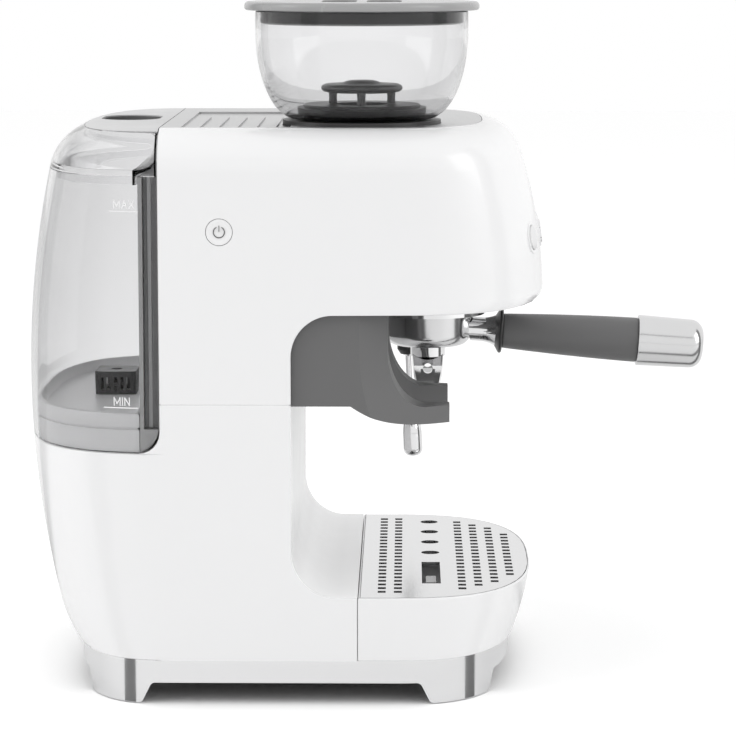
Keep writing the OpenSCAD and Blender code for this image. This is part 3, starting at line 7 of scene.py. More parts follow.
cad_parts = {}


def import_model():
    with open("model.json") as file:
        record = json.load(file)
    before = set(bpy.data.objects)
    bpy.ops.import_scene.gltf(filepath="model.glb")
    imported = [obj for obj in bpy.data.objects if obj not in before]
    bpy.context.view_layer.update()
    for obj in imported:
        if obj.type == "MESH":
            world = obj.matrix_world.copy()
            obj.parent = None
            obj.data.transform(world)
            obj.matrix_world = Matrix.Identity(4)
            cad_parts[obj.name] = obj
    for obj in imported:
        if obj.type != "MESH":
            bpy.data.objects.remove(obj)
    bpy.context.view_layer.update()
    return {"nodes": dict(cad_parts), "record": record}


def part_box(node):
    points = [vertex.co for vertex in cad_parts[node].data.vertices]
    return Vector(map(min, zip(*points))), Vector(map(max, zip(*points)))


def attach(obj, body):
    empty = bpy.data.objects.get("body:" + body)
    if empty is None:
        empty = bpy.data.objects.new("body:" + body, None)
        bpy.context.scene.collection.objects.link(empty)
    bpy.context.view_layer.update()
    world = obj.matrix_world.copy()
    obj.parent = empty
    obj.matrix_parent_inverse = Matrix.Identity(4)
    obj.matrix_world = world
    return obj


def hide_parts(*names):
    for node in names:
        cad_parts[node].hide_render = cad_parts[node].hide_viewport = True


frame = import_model()

# Espresso machine with a built-in burr grinder. The CAD frame gives the place of every part; this
# script gives each shell its fine mesh, each part its finish, and the whole a plain studio.
# Sizes are in millimetres and become metres where a mesh is made. The lamps and the camera are
# placed in metres.

MM = 0.001
RECORD = frame["record"]
BODY = {node: body for body, nodes in RECORD["behaviour"]["bodies"].items() for node in nodes}
SLOT = {row["node"]: row["material_slot"] for row in RECORD["subparts"]}


def corner(node, end):
    """Lowest (end 0) or highest (end 1) corner of a CAD node, in millimetres."""
    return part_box(node)[end] / MM


# ---- Driving sizes -------------------------------------------------------

HALF_W = corner("lower_body", 1).x
DECK_Z = corner("top_plate", 1).z
SEAM_Z = corner("lower_body", 1).z
BASE_Z = corner("lower_body", 0).z
TRAY_Z = corner("drip_tray", 1).z
TANK_Z = 146
HEAD_Z = 225
LID_Z = 303
COLUMN_Y = -4.4
HEAD_TIP = -151
TRAY_TIP = -144.5
TRAY_SEAM = -42
TANK_Y = 70
REAR_START = 64
FRONT_START = -61
PLAN_POWER = 2.7
COVE_R = 26.5
ARCH_R = 24
SHELF_R = 12
SHOULDER_R = 24
NOSE_R = 16
LIP_R = 7
REAR_MID = 182
REAR_BEND = 1100
TUCK = 5
TUCK_H = 22
WALL = 3
GAP = 0.3
LIGHT_GAP = 0.3
EDGE = 1.0
END_STEPS = 96

HOPPER = Vector((-50, -43.5, 0))
GROUP = Vector((58, -83, 0))
WAND = Vector((101, -70.7, 175))
BUTTON_Z = 263.5
HEAD_R = 270
REAR_Y = corner("tank_shell", 1).y
POWER = Vector((-HALF_W, 35.4, 272))
POWER_R = 7.4


# ---- Meshes --------------------------------------------------------------

def new_object(name, points, faces):
    mesh = bpy.data.meshes.new(name)
    mesh.from_pydata([Vector(p) * MM for p in points], [], faces)
    obj = bpy.data.objects.new(name, mesh)
    bpy.context.scene.collection.objects.link(obj)
    return obj


def rings_faces(count, size, closed=True):
    """Quads between count rings of size points, and a cap at each end."""
    faces = []
    for k in range(count - 1):
        for i in range(size):
            j = (i + 1) % size
            faces.append((k * size + i, k * size + j, (k + 1) * size + j, (k + 1) * size + i))
    if closed:
        faces.append(tuple(reversed(range(size))))
        faces.append(tuple(range((count - 1) * size, count * size)))
    return faces


def clean(obj):
    """Merges doubled points, drops empty faces and turns every face outwards."""
    bm = bmesh.new()
    bm.from_mesh(obj.data)
    bmesh.ops.remove_doubles(bm, verts=bm.verts, dist=2e-6)
    bmesh.ops.dissolve_degenerate(bm, edges=bm.edges, dist=2e-6)
    bmesh.ops.recalc_face_normals(bm, faces=bm.faces)
    bm.to_mesh(obj.data)
    bm.free()
    return obj


def loft(name, rings):
    """A closed solid through rings of equally many points."""
    points = [p for ring in rings for p in ring]
    return clean(new_object(name, points, rings_faces(len(rings), len(rings[0]))))


def prism(name, outline, z0, z1):
    return loft(name, [[(x, y, z0) for x, y in outline], [(x, y, z1) for x, y in outline]])


def side_prism(name, outline, x0, x1):
    """A solid with the outline [y, z], reaching from x0 to x1."""
    return loft(name, [[(x0, y, z) for y, z in outline], [(x1, y, z) for y, z in outline]])


def block(name, low, high):
    (x0, y0, z0), (x1, y1, z1) = low, high
    return prism(name, [(x0, y0), (x1, y0), (x1, y1), (x0, y1)], z0, z1)


def lathe(name, profile, place=Matrix(), steps=128, closed=True):
    """A solid turned round its own Z from a profile [radius, height], then set in its place."""
    turns = [2 * math.pi * i / steps for i in range(steps)]
    rings = [[place @ Vector((r * math.cos(a), r * math.sin(a), z)) for a in turns] for r, z in profile]
    if not closed:
        rings.append(rings[0])
    points = [p for ring in rings for p in ring]
    return clean(new_object(name, points, rings_faces(len(rings), steps, closed)))


def rod(name, x, y, z0, z1, r, steps=96):
    return lathe(name, [(r, z0), (r, z1)], Matrix.Translation((x, y, 0)), steps)


def arc(cx, cy, r, a0, a1, steps):
    """Points of a circle's arc from angle a0 to a1, in degrees."""
    return [
        (cx + r * math.cos(math.radians(a0 + (a1 - a0) * i / steps)),
         cy + r * math.sin(math.radians(a0 + (a1 - a0) * i / steps)))
        for i in range(steps + 1)
    ]


def rounded_box(cx, cy, w, h, r, steps=4):
    x, y = w / 2 - r, h / 2 - r
    return (arc(cx + x, cy - y, r, -90, 0, steps) + arc(cx + x, cy + y, r, 0, 90, steps)
            + arc(cx - x, cy + y, r, 90, 180, steps) + arc(cx - x, cy - y, r, 180, 270, steps))


def fillet(points, radii, steps=8):
    """The outline with each corner rounded to its radius."""
    made = []
    for i, (p, r) in enumerate(zip(points, radii)):
        p = Vector(p)
        a = (Vector(points[i - 1]) - p).normalized()
        b = (Vector(points[(i + 1) % len(points)]) - p).normalized()
        if r <= 0:
            made.append(tuple(p))
            continue
        half = a.angle(b) / 2
        centre = p + (a + b).normalized() * (r / math.sin(half))
        start = p + a * (r / math.tan(half)) - centre
        turn = math.pi - 2 * half
        if a.x * b.y - a.y * b.x > 0:
            turn = -turn
        for k in range(steps + 1):
            t = turn * k / steps
            made.append((
                centre.x + start.x * math.cos(t) - start.y * math.sin(t),
                centre.y + start.x * math.sin(t) + start.y * math.cos(t),
            ))
    return made


def apply_modifiers(obj):
    graph = bpy.context.evaluated_depsgraph_get()
    old = obj.data
    obj.data = bpy.data.meshes.new_from_object(obj.evaluated_get(graph))
    obj.modifiers.clear()
    bpy.data.meshes.remove(old)
    return obj


def combine(obj, tool, operation):
    step = obj.modifiers.new("combine", "BOOLEAN")
    step.object = tool
    step.operation = operation
    step.solver = "MANIFOLD"
    apply_modifiers(obj)
    bpy.data.objects.remove(tool)
    return obj


def cut(obj, *tools):
    for tool in tools:
        combine(obj, tool, "DIFFERENCE")
    return obj


def add(obj, *tools):
    for tool in tools:
        combine(obj, tool, "UNION")
    return obj


def keep(obj, tool):
    return combine(obj, tool, "INTERSECT")


def merge_flats(obj):
    """Joins the triangles of each flat face, so that its edges can be rounded."""
    bm = bmesh.new()
    bm.from_mesh(obj.data)
    bmesh.ops.remove_doubles(bm, verts=bm.verts, dist=5e-6)
    bmesh.ops.dissolve_limit(bm, angle_limit=math.radians(0.4), verts=bm.verts, edges=bm.edges)
    bm.to_mesh(obj.data)
    bm.free()


def soften(obj, width=0.0, sharp=32, flats=True):
    """Rounds the edges sharper than an angle and shades the rest smooth."""
    if flats:
        merge_flats(obj)
    obj.data.shade_smooth()
    obj.data.set_sharp_from_angle(angle=math.radians(sharp))
    if width:
        step = obj.modifiers.new("round", "BEVEL")
        step.width = width * MM
        step.segments = 3
        step.limit_method = "ANGLE"
        step.angle_limit = math.radians(sharp)
        step.use_clamp_overlap = True
    step = obj.modifiers.new("even", "WEIGHTED_NORMAL")
    step.keep_sharp = not width
    step.weight = 60
    return obj


def stands_for(obj, node, slot=None, look=None):
    """The piece rides with its CAD node's body, hides the node and takes its finish."""
    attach(obj, BODY[node])
    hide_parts(node)
    return dress(obj, slot or SLOT[node], look)


def extra(obj, body, slot, look=None):
    """A piece that rides with a body and stands for no CAD node of its own."""
    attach(obj, body)
    return dress(obj, slot, look)


def dress(obj, slot, look=None):
    """Gives a piece one material: the look of its slot, or a closer look when one is given."""
    obj.data.materials.clear()
    obj.data.materials.append(LOOKS[look or slot])
    return obj


# ---- Finishes ------------------------------------------------------------

def finish(name, colour, rough, metal=0.0, spread=0.03, rough_spread=0.05, grain=60.0,
           stretch=(1, 1, 1), bump=0.0, bump_size=900.0, depth=0.02, edge=None, **sockets):
    """A material with drifting colour and roughness over a fine surface grain. A clear one may darken
    towards its silhouette, where the light goes a longer way through the wall."""
    mat = bpy.data.materials.new(name)
    mat.use_nodes = True
    nodes, links = mat.node_tree.nodes, mat.node_tree.links
    shader = nodes["Principled BSDF"]
    shader.inputs["Metallic"].default_value = metal
    for key, value in sockets.items():
        shader.inputs[key.replace("_", " ")].default_value = value
    place = nodes.new("ShaderNodeTexCoord")
    mapping = nodes.new("ShaderNodeMapping")
    mapping.inputs["Scale"].default_value = stretch
    links.new(place.outputs["Object"], mapping.inputs["Vector"])
    drift = nodes.new("ShaderNodeTexNoise")
    drift.inputs["Scale"].default_value = grain
    drift.inputs["Detail"].default_value = 4
    links.new(mapping.outputs["Vector"], drift.inputs["Vector"])
    tint = nodes.new("ShaderNodeMix")
    tint.data_type = "RGBA"
    tint.inputs["A"].default_value = [c * (1 - spread) for c in colour] + [1]
    tint.inputs["B"].default_value = [min(1, c * (1 + spread)) for c in colour] + [1]
    links.new(drift.outputs["Fac"], tint.inputs["Factor"])
    colour_out = tint.outputs["Result"]
    if edge:
        weight = nodes.new("ShaderNodeLayerWeight")
        weight.inputs["Blend"].default_value = 0.3
        rim = nodes.new("ShaderNodeMix")
        rim.data_type = "RGBA"
        rim.inputs["B"].default_value = list(grey(edge)) + [1]
        links.new(weight.outputs["Facing"], rim.inputs["Factor"])
        links.new(colour_out, rim.inputs["A"])
        colour_out = rim.outputs["Result"]
    links.new(colour_out, shader.inputs["Base Color"])
    gloss = nodes.new("ShaderNodeMapRange")
    gloss.inputs["From Min"].default_value = 0.3
    gloss.inputs["From Max"].default_value = 0.7
    gloss.inputs["To Min"].default_value = max(0.0, rough - rough_spread)
    gloss.inputs["To Max"].default_value = rough + rough_spread
    links.new(drift.outputs["Fac"], gloss.inputs["Value"])
    links.new(gloss.outputs["Result"], shader.inputs["Roughness"])
    if bump:
        skin = nodes.new("ShaderNodeTexNoise")
        skin.inputs["Scale"].default_value = bump_size
        skin.inputs["Detail"].default_value = 3
        links.new(mapping.outputs["Vector"], skin.inputs["Vector"])
        relief = nodes.new("ShaderNodeBump")
        relief.inputs["Strength"].default_value = bump
        relief.inputs["Distance"].default_value = depth * MM
        links.new(skin.outputs["Fac"], relief.inputs["Height"])
        links.new(relief.outputs["Normal"], shader.inputs["Normal"])
    return mat


def grey(level):
    return (level, level, level * 1.005)


LOOKS = {
    "white_paint": finish("white_paint", grey(0.89), 0.24, spread=0.003, rough_spread=0.01, bump=0.03,
                          bump_size=1200, Coat_Weight=0.3, Coat_Roughness=0.06),
    "white_plastic": finish("white_plastic", grey(0.89), 0.26, spread=0.003, rough_spread=0.006, bump=0.02,
                            bump_size=1200, Coat_Weight=0.2, Coat_Roughness=0.08),
    "grey_plastic": finish("grey_plastic", grey(0.135), 0.48, spread=0.03, bump=0.3, bump_size=1600),
    "panel_plastic": finish("panel_plastic", grey(0.32), 0.4, spread=0.03, bump=0.2),
    "dark_plastic": finish("dark_plastic", grey(0.03), 0.38, spread=0.1, bump=0.3),
    "socket_plastic": finish("socket_plastic", grey(0.62), 0.4, spread=0.02, bump=0.2),
    "smoke_plastic": finish("smoke_plastic", grey(0.96), 0.04, spread=0.004, rough_spread=0.01,
                            edge=0.72, IOR=1.2, Transmission_Weight=1.0),
    "floor_plastic": finish("floor_plastic", grey(0.84), 0.3, spread=0.01, rough_spread=0.02,
                            IOR=1.3, Transmission_Weight=0.25),
    "clear_plastic": finish("clear_plastic", grey(0.92), 0.02, spread=0.003, rough_spread=0.01,
                            edge=0.72, IOR=1.35, Transmission_Weight=1.0),
    "hopper_lid_plastic": finish("hopper_lid_plastic", grey(0.35), 0.24, spread=0.02, bump=0.2),
    "chrome": finish("chrome", grey(0.8), 0.07, metal=1.0, rough_spread=0.02, spread=0.01),
    "satin_steel": finish("satin_steel", grey(0.7), 0.18, metal=1.0, spread=0.012, rough_spread=0.02,
                          stretch=(1, 25, 25), grain=30, bump=0.02, bump_size=300),
    "plate_steel": finish("plate_steel", grey(0.5), 0.3, metal=1.0, spread=0.012, rough_spread=0.02,
                          stretch=(1, 25, 25), grain=30, bump=0.02, bump_size=300),
    "base_metal": finish("base_metal", grey(0.82), 0.12, metal=1.0, spread=0.01, rough_spread=0.02,
                         stretch=(1, 1, 30), grain=30, bump=0.02, bump_size=200),
    "burr_steel": finish("burr_steel", grey(0.5), 0.3, metal=1.0, bump=0.2),
    "spring_steel": finish("spring_steel", grey(0.55), 0.25, metal=1.0),
    "gear_brass": finish("gear_brass", (0.72, 0.5, 0.2), 0.3, metal=1.0, bump=0.1),
    "nylon": finish("nylon", (0.82, 0.8, 0.72), 0.45, bump=0.2),
    "die_cast": finish("die_cast", grey(0.5), 0.45, metal=1.0, bump=0.5, bump_size=1200, depth=0.05),
    "rubber": finish("rubber", grey(0.025), 0.7, spread=0.1, bump=0.4),
    "pump_plastic": finish("pump_plastic", (0.6, 0.55, 0.4), 0.5, bump=0.3),
    "board": finish("board", (0.03, 0.14, 0.06), 0.4, bump=0.2),
}


# ---- Outlines shared by the shells ---------------------------------------

def lame(t):
    return math.copysign(abs(t) ** (2 / PLAN_POWER), t)


def end_shape(steps=END_STEPS):
    """Shares (across, along) of a rounded end, from one side round to the other."""
    turns = [math.pi * i / steps for i in range(steps + 1)]
    return [(lame(math.cos(a)), lame(math.sin(a))) for a in turns]


def plan_end(half, y0, y1, steps=END_STEPS):
    return [(half * u, y0 + (y1 - y0) * v) for u, v in end_shape(steps)]


def flat_end(half, y, inward, r=EDGE):
    """The same points on a straight face at y, its corners rounded towards inward (+1 or -1)."""
    made = []
    for u, _ in end_shape():
        over = max(0.0, abs(half * u) - (half - r))
        made.append((half * u, y + inward * (r - math.sqrt(r * r - min(over, r) ** 2))))
    return made


def round_in(h, r):
    """How far a rounded edge of radius r has drawn in at height h above its start."""
    return 0.0 if h <= 0 else r - math.sqrt(max(0.0, r * r - h * h))


def arc_rear(z):
    return REAR_Y - (z - REAR_MID) ** 2 / REAR_BEND


def rear_at(z):
    tuck = TUCK * (1 - (z - BASE_Z) / TUCK_H) ** 2 if z < BASE_Z + TUCK_H else 0
    return arc_rear(z) - tuck


def head_at(z):
    return HEAD_TIP + (z - HEAD_Z) ** 2 / (2 * HEAD_R)


def head_y(z):
    return head_at(z) + round_in(z - (DECK_Z - NOSE_R), NOSE_R) + round_in(HEAD_Z + LIP_R - z, LIP_R)


def tray_at(z):
    return TRAY_TIP + 0.15 * (TRAY_Z - z) + (TRAY_Z - z) ** 2 / 316


def spread(a, b, steps):
    return [a + (b - a) * k / steps for k in range(steps + 1)]


# ---- Painted housings ----------------------------------------------------

def lower_ring(z, front, rear, inset=0.0):
    """One level of the lower housing: a flat front face, straight sides and the given rear."""
    half = HALF_W - inset
    outline = [(x, y) for x, y in reversed(flat_end(half, front + inset, 1))] + rear
    return [(x, y, z) for x, y in outline]


def full_rear(z, inset=0.0):
    y1 = rear_at(z) - inset
    return [(x - math.copysign(inset * min(1, max(0, (y - 70) / 4)), x), y)
            for x, y in plan_end(HALF_W, REAR_START, y1)]


def lower_front(z):
    if z <= TRAY_Z:
        return TRAY_SEAM
    if z >= TRAY_Z + COVE_R:
        return COLUMN_Y
    drop = TRAY_Z + COVE_R - z
    return COLUMN_Y - COVE_R + math.sqrt(COVE_R ** 2 - drop ** 2)


def shelf_rear(z):
    """The rear face above the tank's shelf, with the cove that leads up from the shelf."""
    drop = max(0.0, TANK_Z + SHELF_R - z)
    return flat_end(HALF_W, TANK_Y + SHELF_R - math.sqrt(SHELF_R ** 2 - drop ** 2), -1)


def lower_body():
    rings = [lower_ring(BASE_Z, TRAY_SEAM, full_rear(BASE_Z, 1.2))]
    rings += [lower_ring(z, TRAY_SEAM, full_rear(z)) for z in [BASE_Z + 0.8, 29, 33, 38, 43, 48, 54, 60]]
    rings.append(lower_ring(TRAY_Z, TRAY_SEAM, full_rear(TRAY_Z)))
    for a in range(0, 91, 6):
        z = TRAY_Z + COVE_R * (1 - math.cos(math.radians(a)))
        rings.append(lower_ring(z, lower_front(z + 1e-4), full_rear(z)))
    rings += [lower_ring(z, COLUMN_Y, full_rear(z)) for z in spread(96, TANK_Z - EDGE, 6)]
    for a in (30, 60, 90):
        t = math.radians(a)
        z = TANK_Z - EDGE + EDGE * math.sin(t)
        rings.append(lower_ring(z, COLUMN_Y, full_rear(z, EDGE * (1 - math.cos(t)))))
    for a in range(0, 91, 15):
        z = TANK_Z + SHELF_R * (1 - math.cos(math.radians(a)))
        rings.append(lower_ring(z, COLUMN_Y, shelf_rear(z)))
    rings.append(lower_ring(SEAM_Z - 0.5, COLUMN_Y, flat_end(HALF_W, TANK_Y, -1)))
    rings.append(lower_ring(SEAM_Z, COLUMN_Y, flat_end(HALF_W - 0.5, TANK_Y, -1), 0.5))
    return stands_for(soften(loft("lower_housing", rings), sharp=40, flats=False), "lower_body")


def upper_ring(z, front, inset=0.0):
    """One level of the upper housing; the flat rear face stands at the tank."""
    half = HALF_W - round_in(z - (DECK_Z - SHOULDER_R), SHOULDER_R) - inset
    side = arch_front(z) + 1.5
    outline = [(-half, side)] + list(reversed(front)) + [(half, side)] + flat_end(half, TANK_Y - inset, -1)
    return [(x, y, z) for x, y in outline]


def head_front(z, inset=0.0):
    half = HALF_W - round_in(z - (DECK_Z - SHOULDER_R), SHOULDER_R) - inset
    return plan_end(half, FRONT_START, head_y(z) + inset)


def head_low(z, inset):
    """The head's lower rim, drawn in by inset."""
    return [(x - math.copysign(inset, x), y) for x, y in plan_end(HALF_W, FRONT_START, head_y(z) + inset)]


def arch_front(z):
    """Depth of the column's front, which sweeps forward under the head."""
    rise = min(ARCH_R, max(0.0, z - (HEAD_Z - ARCH_R)))
    return COLUMN_Y - ARCH_R + math.sqrt(ARCH_R ** 2 - rise ** 2)


def column_front(z):
    return flat_end(HALF_W, arch_front(z), 1)


def deck_outline(inset):
    """Outline of the flat deck, drawn in by inset."""
    z = DECK_Z - 0.01
    half = HALF_W - SHOULDER_R - inset
    front = plan_end(half, FRONT_START, head_y(z) + inset)
    return [(half, TANK_Y), (-half, TANK_Y)] + list(reversed(front))


def face_y(x):
    """Depth of the head's face at x, level with the front buttons."""
    across = (1 - (abs(x) / HALF_W) ** PLAN_POWER) ** (1 / PLAN_POWER)
    return FRONT_START + (head_at(BUTTON_Z) - FRONT_START) * across


def at_face(x):
    """Turns and tilts a part's Z axis out of the head's face at x."""
    turn = math.atan((face_y(x + 1) - face_y(x - 1)) / 2)
    tilt = math.atan((BUTTON_Z - HEAD_Z) / HEAD_R)
    return (Matrix.Translation((x, face_y(x), BUTTON_Z)) @ Matrix.Rotation(turn, 4, "Z")
            @ Matrix.Rotation(math.radians(90) - tilt, 4, "X"))


BUTTON_X = {"one_cup_button": -66, "two_cup_button": -22, "water_button": 22, "steam_button": 66}
BUTTON_R = 7
BEZEL_R = 9.2
BEZEL_OUT = 0.6


def upper_body():
    rings = [upper_ring(SEAM_Z, flat_end(HALF_W - 0.5, COLUMN_Y + 0.5, 1), 0.5)]
    rings += [upper_ring(z, column_front(z)) for z in [SEAM_Z + 0.5, 187]]
    for a in range(0, 91, 6):
        z = HEAD_Z - ARCH_R + ARCH_R * math.sin(math.radians(a))
        rings.append(upper_ring(z, column_front(z)))
    for a in (0, 30, 60, 90):
        t = math.radians(a)
        z = HEAD_Z + EDGE * (1 - math.cos(t))
        rings.append(upper_ring(z, head_low(z, EDGE * (1 - math.sin(t)))))
    for a in (30, 45, 60, 75, 90):
        z = HEAD_Z + LIP_R * (1 - math.cos(math.radians(a)))
        if z > HEAD_Z + EDGE:
            rings.append(upper_ring(z, head_front(z)))
    rings += [upper_ring(z, head_front(z)) for z in spread(238, DECK_Z - SHOULDER_R, 8)]
    for a in range(5, 91, 5):
        z = DECK_Z - SHOULDER_R + SHOULDER_R * math.sin(math.radians(a))
        rings.append(upper_ring(z, head_front(z)))
    body = loft("upper_housing", rings)
    bezel = [(BEZEL_R, -4), (BEZEL_R, BEZEL_OUT - 0.3),
             (BEZEL_R - 0.1, BEZEL_OUT - 0.1), (BEZEL_R - 0.4, BEZEL_OUT)]
    for x in BUTTON_X.values():
        add(body, lathe("bezel", bezel, at_face(x), 96))
    levels = [HEAD_Z - 1, 240, 262, 284, 302, 314, DECK_Z - 6]
    cut(body, loft("inner", [[(x, y, z) for x, y in head_inner(z)] for z in levels]))
    cut(body, block("inner", (-HALF_W + WALL, COLUMN_Y - ARCH_R - 1, SEAM_Z - 1),
                    (HALF_W - WALL, TANK_Y - WALL, HEAD_Z + 1)))
    cut(body, block("inner", (-HALF_W + WALL, COLUMN_Y, HEAD_Z - 1),
                    (HALF_W - WALL, TANK_Y - WALL, DECK_Z - SHOULDER_R)))
    cut(body, prism("deck", deck_outline(4), DECK_Z - 7, DECK_Z + 5))
    cut(body, prism("deck", deck_outline(1), DECK_Z - 3, DECK_Z + 5))
    place = Matrix.Translation(POWER) @ Matrix.Rotation(math.radians(90), 4, "Y")
    cut(body, lathe("hole", [(POWER_R + GAP, -1), (POWER_R + GAP, WALL + 1)], place, 96))
    for x in BUTTON_X.values():
        cut(body, lathe("hole", [(BUTTON_R + GAP, -5), (BUTTON_R + GAP, 3)], at_face(x), 96))
    return stands_for(soften(body, sharp=40), "upper_body")


def head_inner(z):
    """Outline of the hollow in the head and the column at height z."""
    level = max(z, HEAD_Z + LIP_R)
    half = HALF_W - round_in(level - (DECK_Z - SHOULDER_R), SHOULDER_R) - WALL
    front = plan_end(half, FRONT_START, head_y(level) + WALL, 48)
    return [(half, TANK_Y - WALL), (-half, TANK_Y - WALL)] + list(reversed(front))


def drip_tray():
    def ring(z, inset=0.0):
        back = TRAY_SEAM - GAP
        front = plan_end(HALF_W - inset, FRONT_START, tray_at(z) + inset)
        outline = [(HALF_W - inset, back - inset), (-HALF_W + inset, back - inset)] + list(reversed(front))
        return [(x, y, z) for x, y in outline]

    low, seat, r = BASE_Z + GAP, TRAY_Z - 1.9, 1.2
    rings = [ring(low, 0.8), ring(low + 0.25, 0.25), ring(low + 0.8)]
    rings += [ring(z) for z in spread(31, TRAY_Z - r, 6)]
    for a in (30, 60, 90):
        t = math.radians(a)
        rings.append(ring(TRAY_Z - r + r * math.sin(t), r * (1 - math.cos(t))))
    tray = loft("drip_tray_shell", rings)
    cut(tray, loft("inner", [ring(z, WALL) for z in spread(low + 3, seat, 3)]))
    cut(tray, prism("seat", [(x, y) for x, y, _ in ring(TRAY_Z, 1.0)], seat, TRAY_Z + 5))
    return stands_for(soften(tray, sharp=40), "drip_tray")


# ---- Base ----------------------------------------------------------------

BASE_REAR = 127
BASE_FRONT = -134
BAND_INSET = 2
BAND_T = 4
BAND_LOW = 0.6
BAND_Z = 12.8
FOOT_X = 98
FOOT_Y = (93, -99)
FOOT_R = 12
FOOT_H = 14
PAD_R = 10.2


def base_outline(inset):
    half = HALF_W - inset
    return plan_end(half, REAR_START, BASE_REAR - inset) + plan_end(-half, FRONT_START, BASE_FRONT + inset)


def foot_opening(length, mid):
    """Outline of the opening between two feet, its flanks running out in rounds."""
    half, lean, run, low, r = length / 2, 6, 40, -20, 3.5
    return fillet(
        [(mid - half - lean - run, low), (mid - half - lean - run, BAND_LOW),
         (mid - half - lean, BAND_LOW), (mid - half, BAND_Z),
         (mid + half, BAND_Z), (mid + half + lean, BAND_LOW),
         (mid + half + lean + run, BAND_LOW), (mid + half + lean + run, low)],
        [0, 0, r, r, r, r, 0, 0])


def base_frame():
    band = prism("base_band", base_outline(BAND_INSET), BAND_LOW, BASE_Z)
    cut(band, prism("inner", base_outline(BAND_INSET + BAND_T), -5, BASE_Z + 5))
    cut(band, side_prism("opening", foot_opening(154, -1), -200, 200))
    across = foot_opening(2 * HALF_W - 80, 0)
    cut(band, loft("opening", [[(x, y, z) for x, z in across] for y in (-200, 200)]))
    for x in (-FOOT_X, FOOT_X):
        for y in FOOT_Y:
            post = rod("post", x, y, BAND_LOW, FOOT_H, FOOT_R)
            add(band, cut(post, rod("recess", x, y, -1, BAND_LOW + 1, PAD_R)))
    return stands_for(soften(band, 0.5, sharp=35), "base_frame")


# ---- Water tank ----------------------------------------------------------

TANK_FRONT = TANK_Y + 0.4
TANK_LOW = TANK_Z + GAP
TANK_WALL = 2.6
TANK_FLOOR = TANK_LOW + 14 + TANK_WALL
TANK_ROUND = 14
VALVE_Y = 106
PORT_R = 4.5
NIPPLE_R = 8
NIPPLE_H = 7
PANEL_Y = TANK_FRONT + 8
RECESS_R = 17.5
RECESS_Y = 94.75


def rear_plan(inset, rear, front):
    """Outline of the rounded rear, drawn in by inset and cut off straight at front."""
    half = HALF_W - inset
    curve = plan_end(half, REAR_START, rear - inset)
    return [(x, max(front, y)) for x, y in curve] + [(-half, front), (half, front)]


def tank_rings(levels, inset, front):
    """Levels of the tank behind a flat front face. Its foot is rounded only where inset is 0."""
    rings = []
    for z in levels:
        drop = max(0.0, TANK_LOW + TANK_ROUND - z) if inset == 0 else 0.0
        face = front + TANK_ROUND - math.sqrt(TANK_ROUND ** 2 - drop ** 2)
        rings.append([(x, y, z) for x, y in rear_plan(inset, rear_at(z), face)])
    return rings


def tank_shell():
    """The clear wall round the tank's sides and rear."""
    levels = [TANK_LOW + TANK_ROUND * (1 - math.cos(math.radians(a))) for a in range(0, 91, 10)]
    levels += spread(166, LID_Z, 12)
    tank = loft("tank_wall_shell", tank_rings(levels, 0, TANK_FRONT))
    cut(tank, loft("inner", tank_rings(spread(TANK_LOW - 1, LID_Z + 1, 16), TANK_WALL, TANK_FRONT - 1)))
    return stands_for(soften(tank, 0.4, sharp=35), "tank_shell")


def tank_front():
    """The opaque wall behind the panel, with the rounded foot below it."""
    front, back = TANK_FRONT + 0.1, PANEL_Y + TANK_WALL
    foot = [(front + TANK_ROUND * (1 - math.cos(a)), TANK_LOW + TANK_ROUND * (1 - math.sin(a)) + 0.1)
            for a in (math.radians(d) for d in range(0, 91, 6))]
    side = [(y, z) for y, z in foot if y < back]
    side += [(back, TANK_LOW + 0.1), (back, LID_Z - 0.4), (front, LID_Z - 0.4)]
    half = HALF_W - TANK_WALL - LIGHT_GAP
    wall = side_prism("tank_front_wall", side, -half, half)
    cut(wall, block("panel", (-200, 0, TANK_LOW + TANK_ROUND - 2 * GAP), (200, PANEL_Y + GAP, 400)))
    return extra(soften(wall, sharp=40), BODY["tank_shell"], "smoke_plastic", "panel_plastic")


def tank_panel():
    """The tank's front panel: a core with a rib along each side, and darker blocks before and behind it,
    their darker grey painted shade for the gaps beside the rib.
    """
    low = corner("tank_panel", 0)
    high = corner("tank_panel", 1)
    front_shade_end, edge, side, inset = low.y + 3.5, high.y - 2.2, 6, 0.4
    core = block("panel_core", (low.x + side, low.y, low.z), (high.x - side, high.y, high.z))
    add(core, block("rib", (low.x, front_shade_end, low.z), (high.x, edge, high.z)))
    stands_for(soften(core, 0.3), "tank_panel", "grey_plastic", "panel_plastic")
    # The darker grey of these blocks is painted shade: it stands for the shadow in the gaps before and
    # behind the rib.
    for name, y0, y1 in (("panel_front_shade", low.y, front_shade_end), ("panel_back_shade", edge, high.y)):
        for x0, x1 in ((low.x + inset, low.x + side), (high.x - side, high.x - inset)):
            strip = block(name, (x0, y0, low.z), (x1, y1, high.z))
            extra(soften(strip, 0.3), BODY["tank_panel"], "grey_plastic")


def recess_cup():
    """The grey cup that makes the lid's finger recess."""
    cup = prism("recess_cup", stadium(RECESS_R - 0.1), DECK_Z - 5, DECK_Z - 0.7)
    add(cup, prism("foot", stadium(RECESS_R + 1.5), DECK_Z - 9, DECK_Z - 3.4))
    cut(cup, prism("inner", stadium(RECESS_R - 0.8), DECK_Z - 3.3, DECK_Z))
    return extra(soften(cup, sharp=40), BODY["tank_lid"], "grey_plastic")


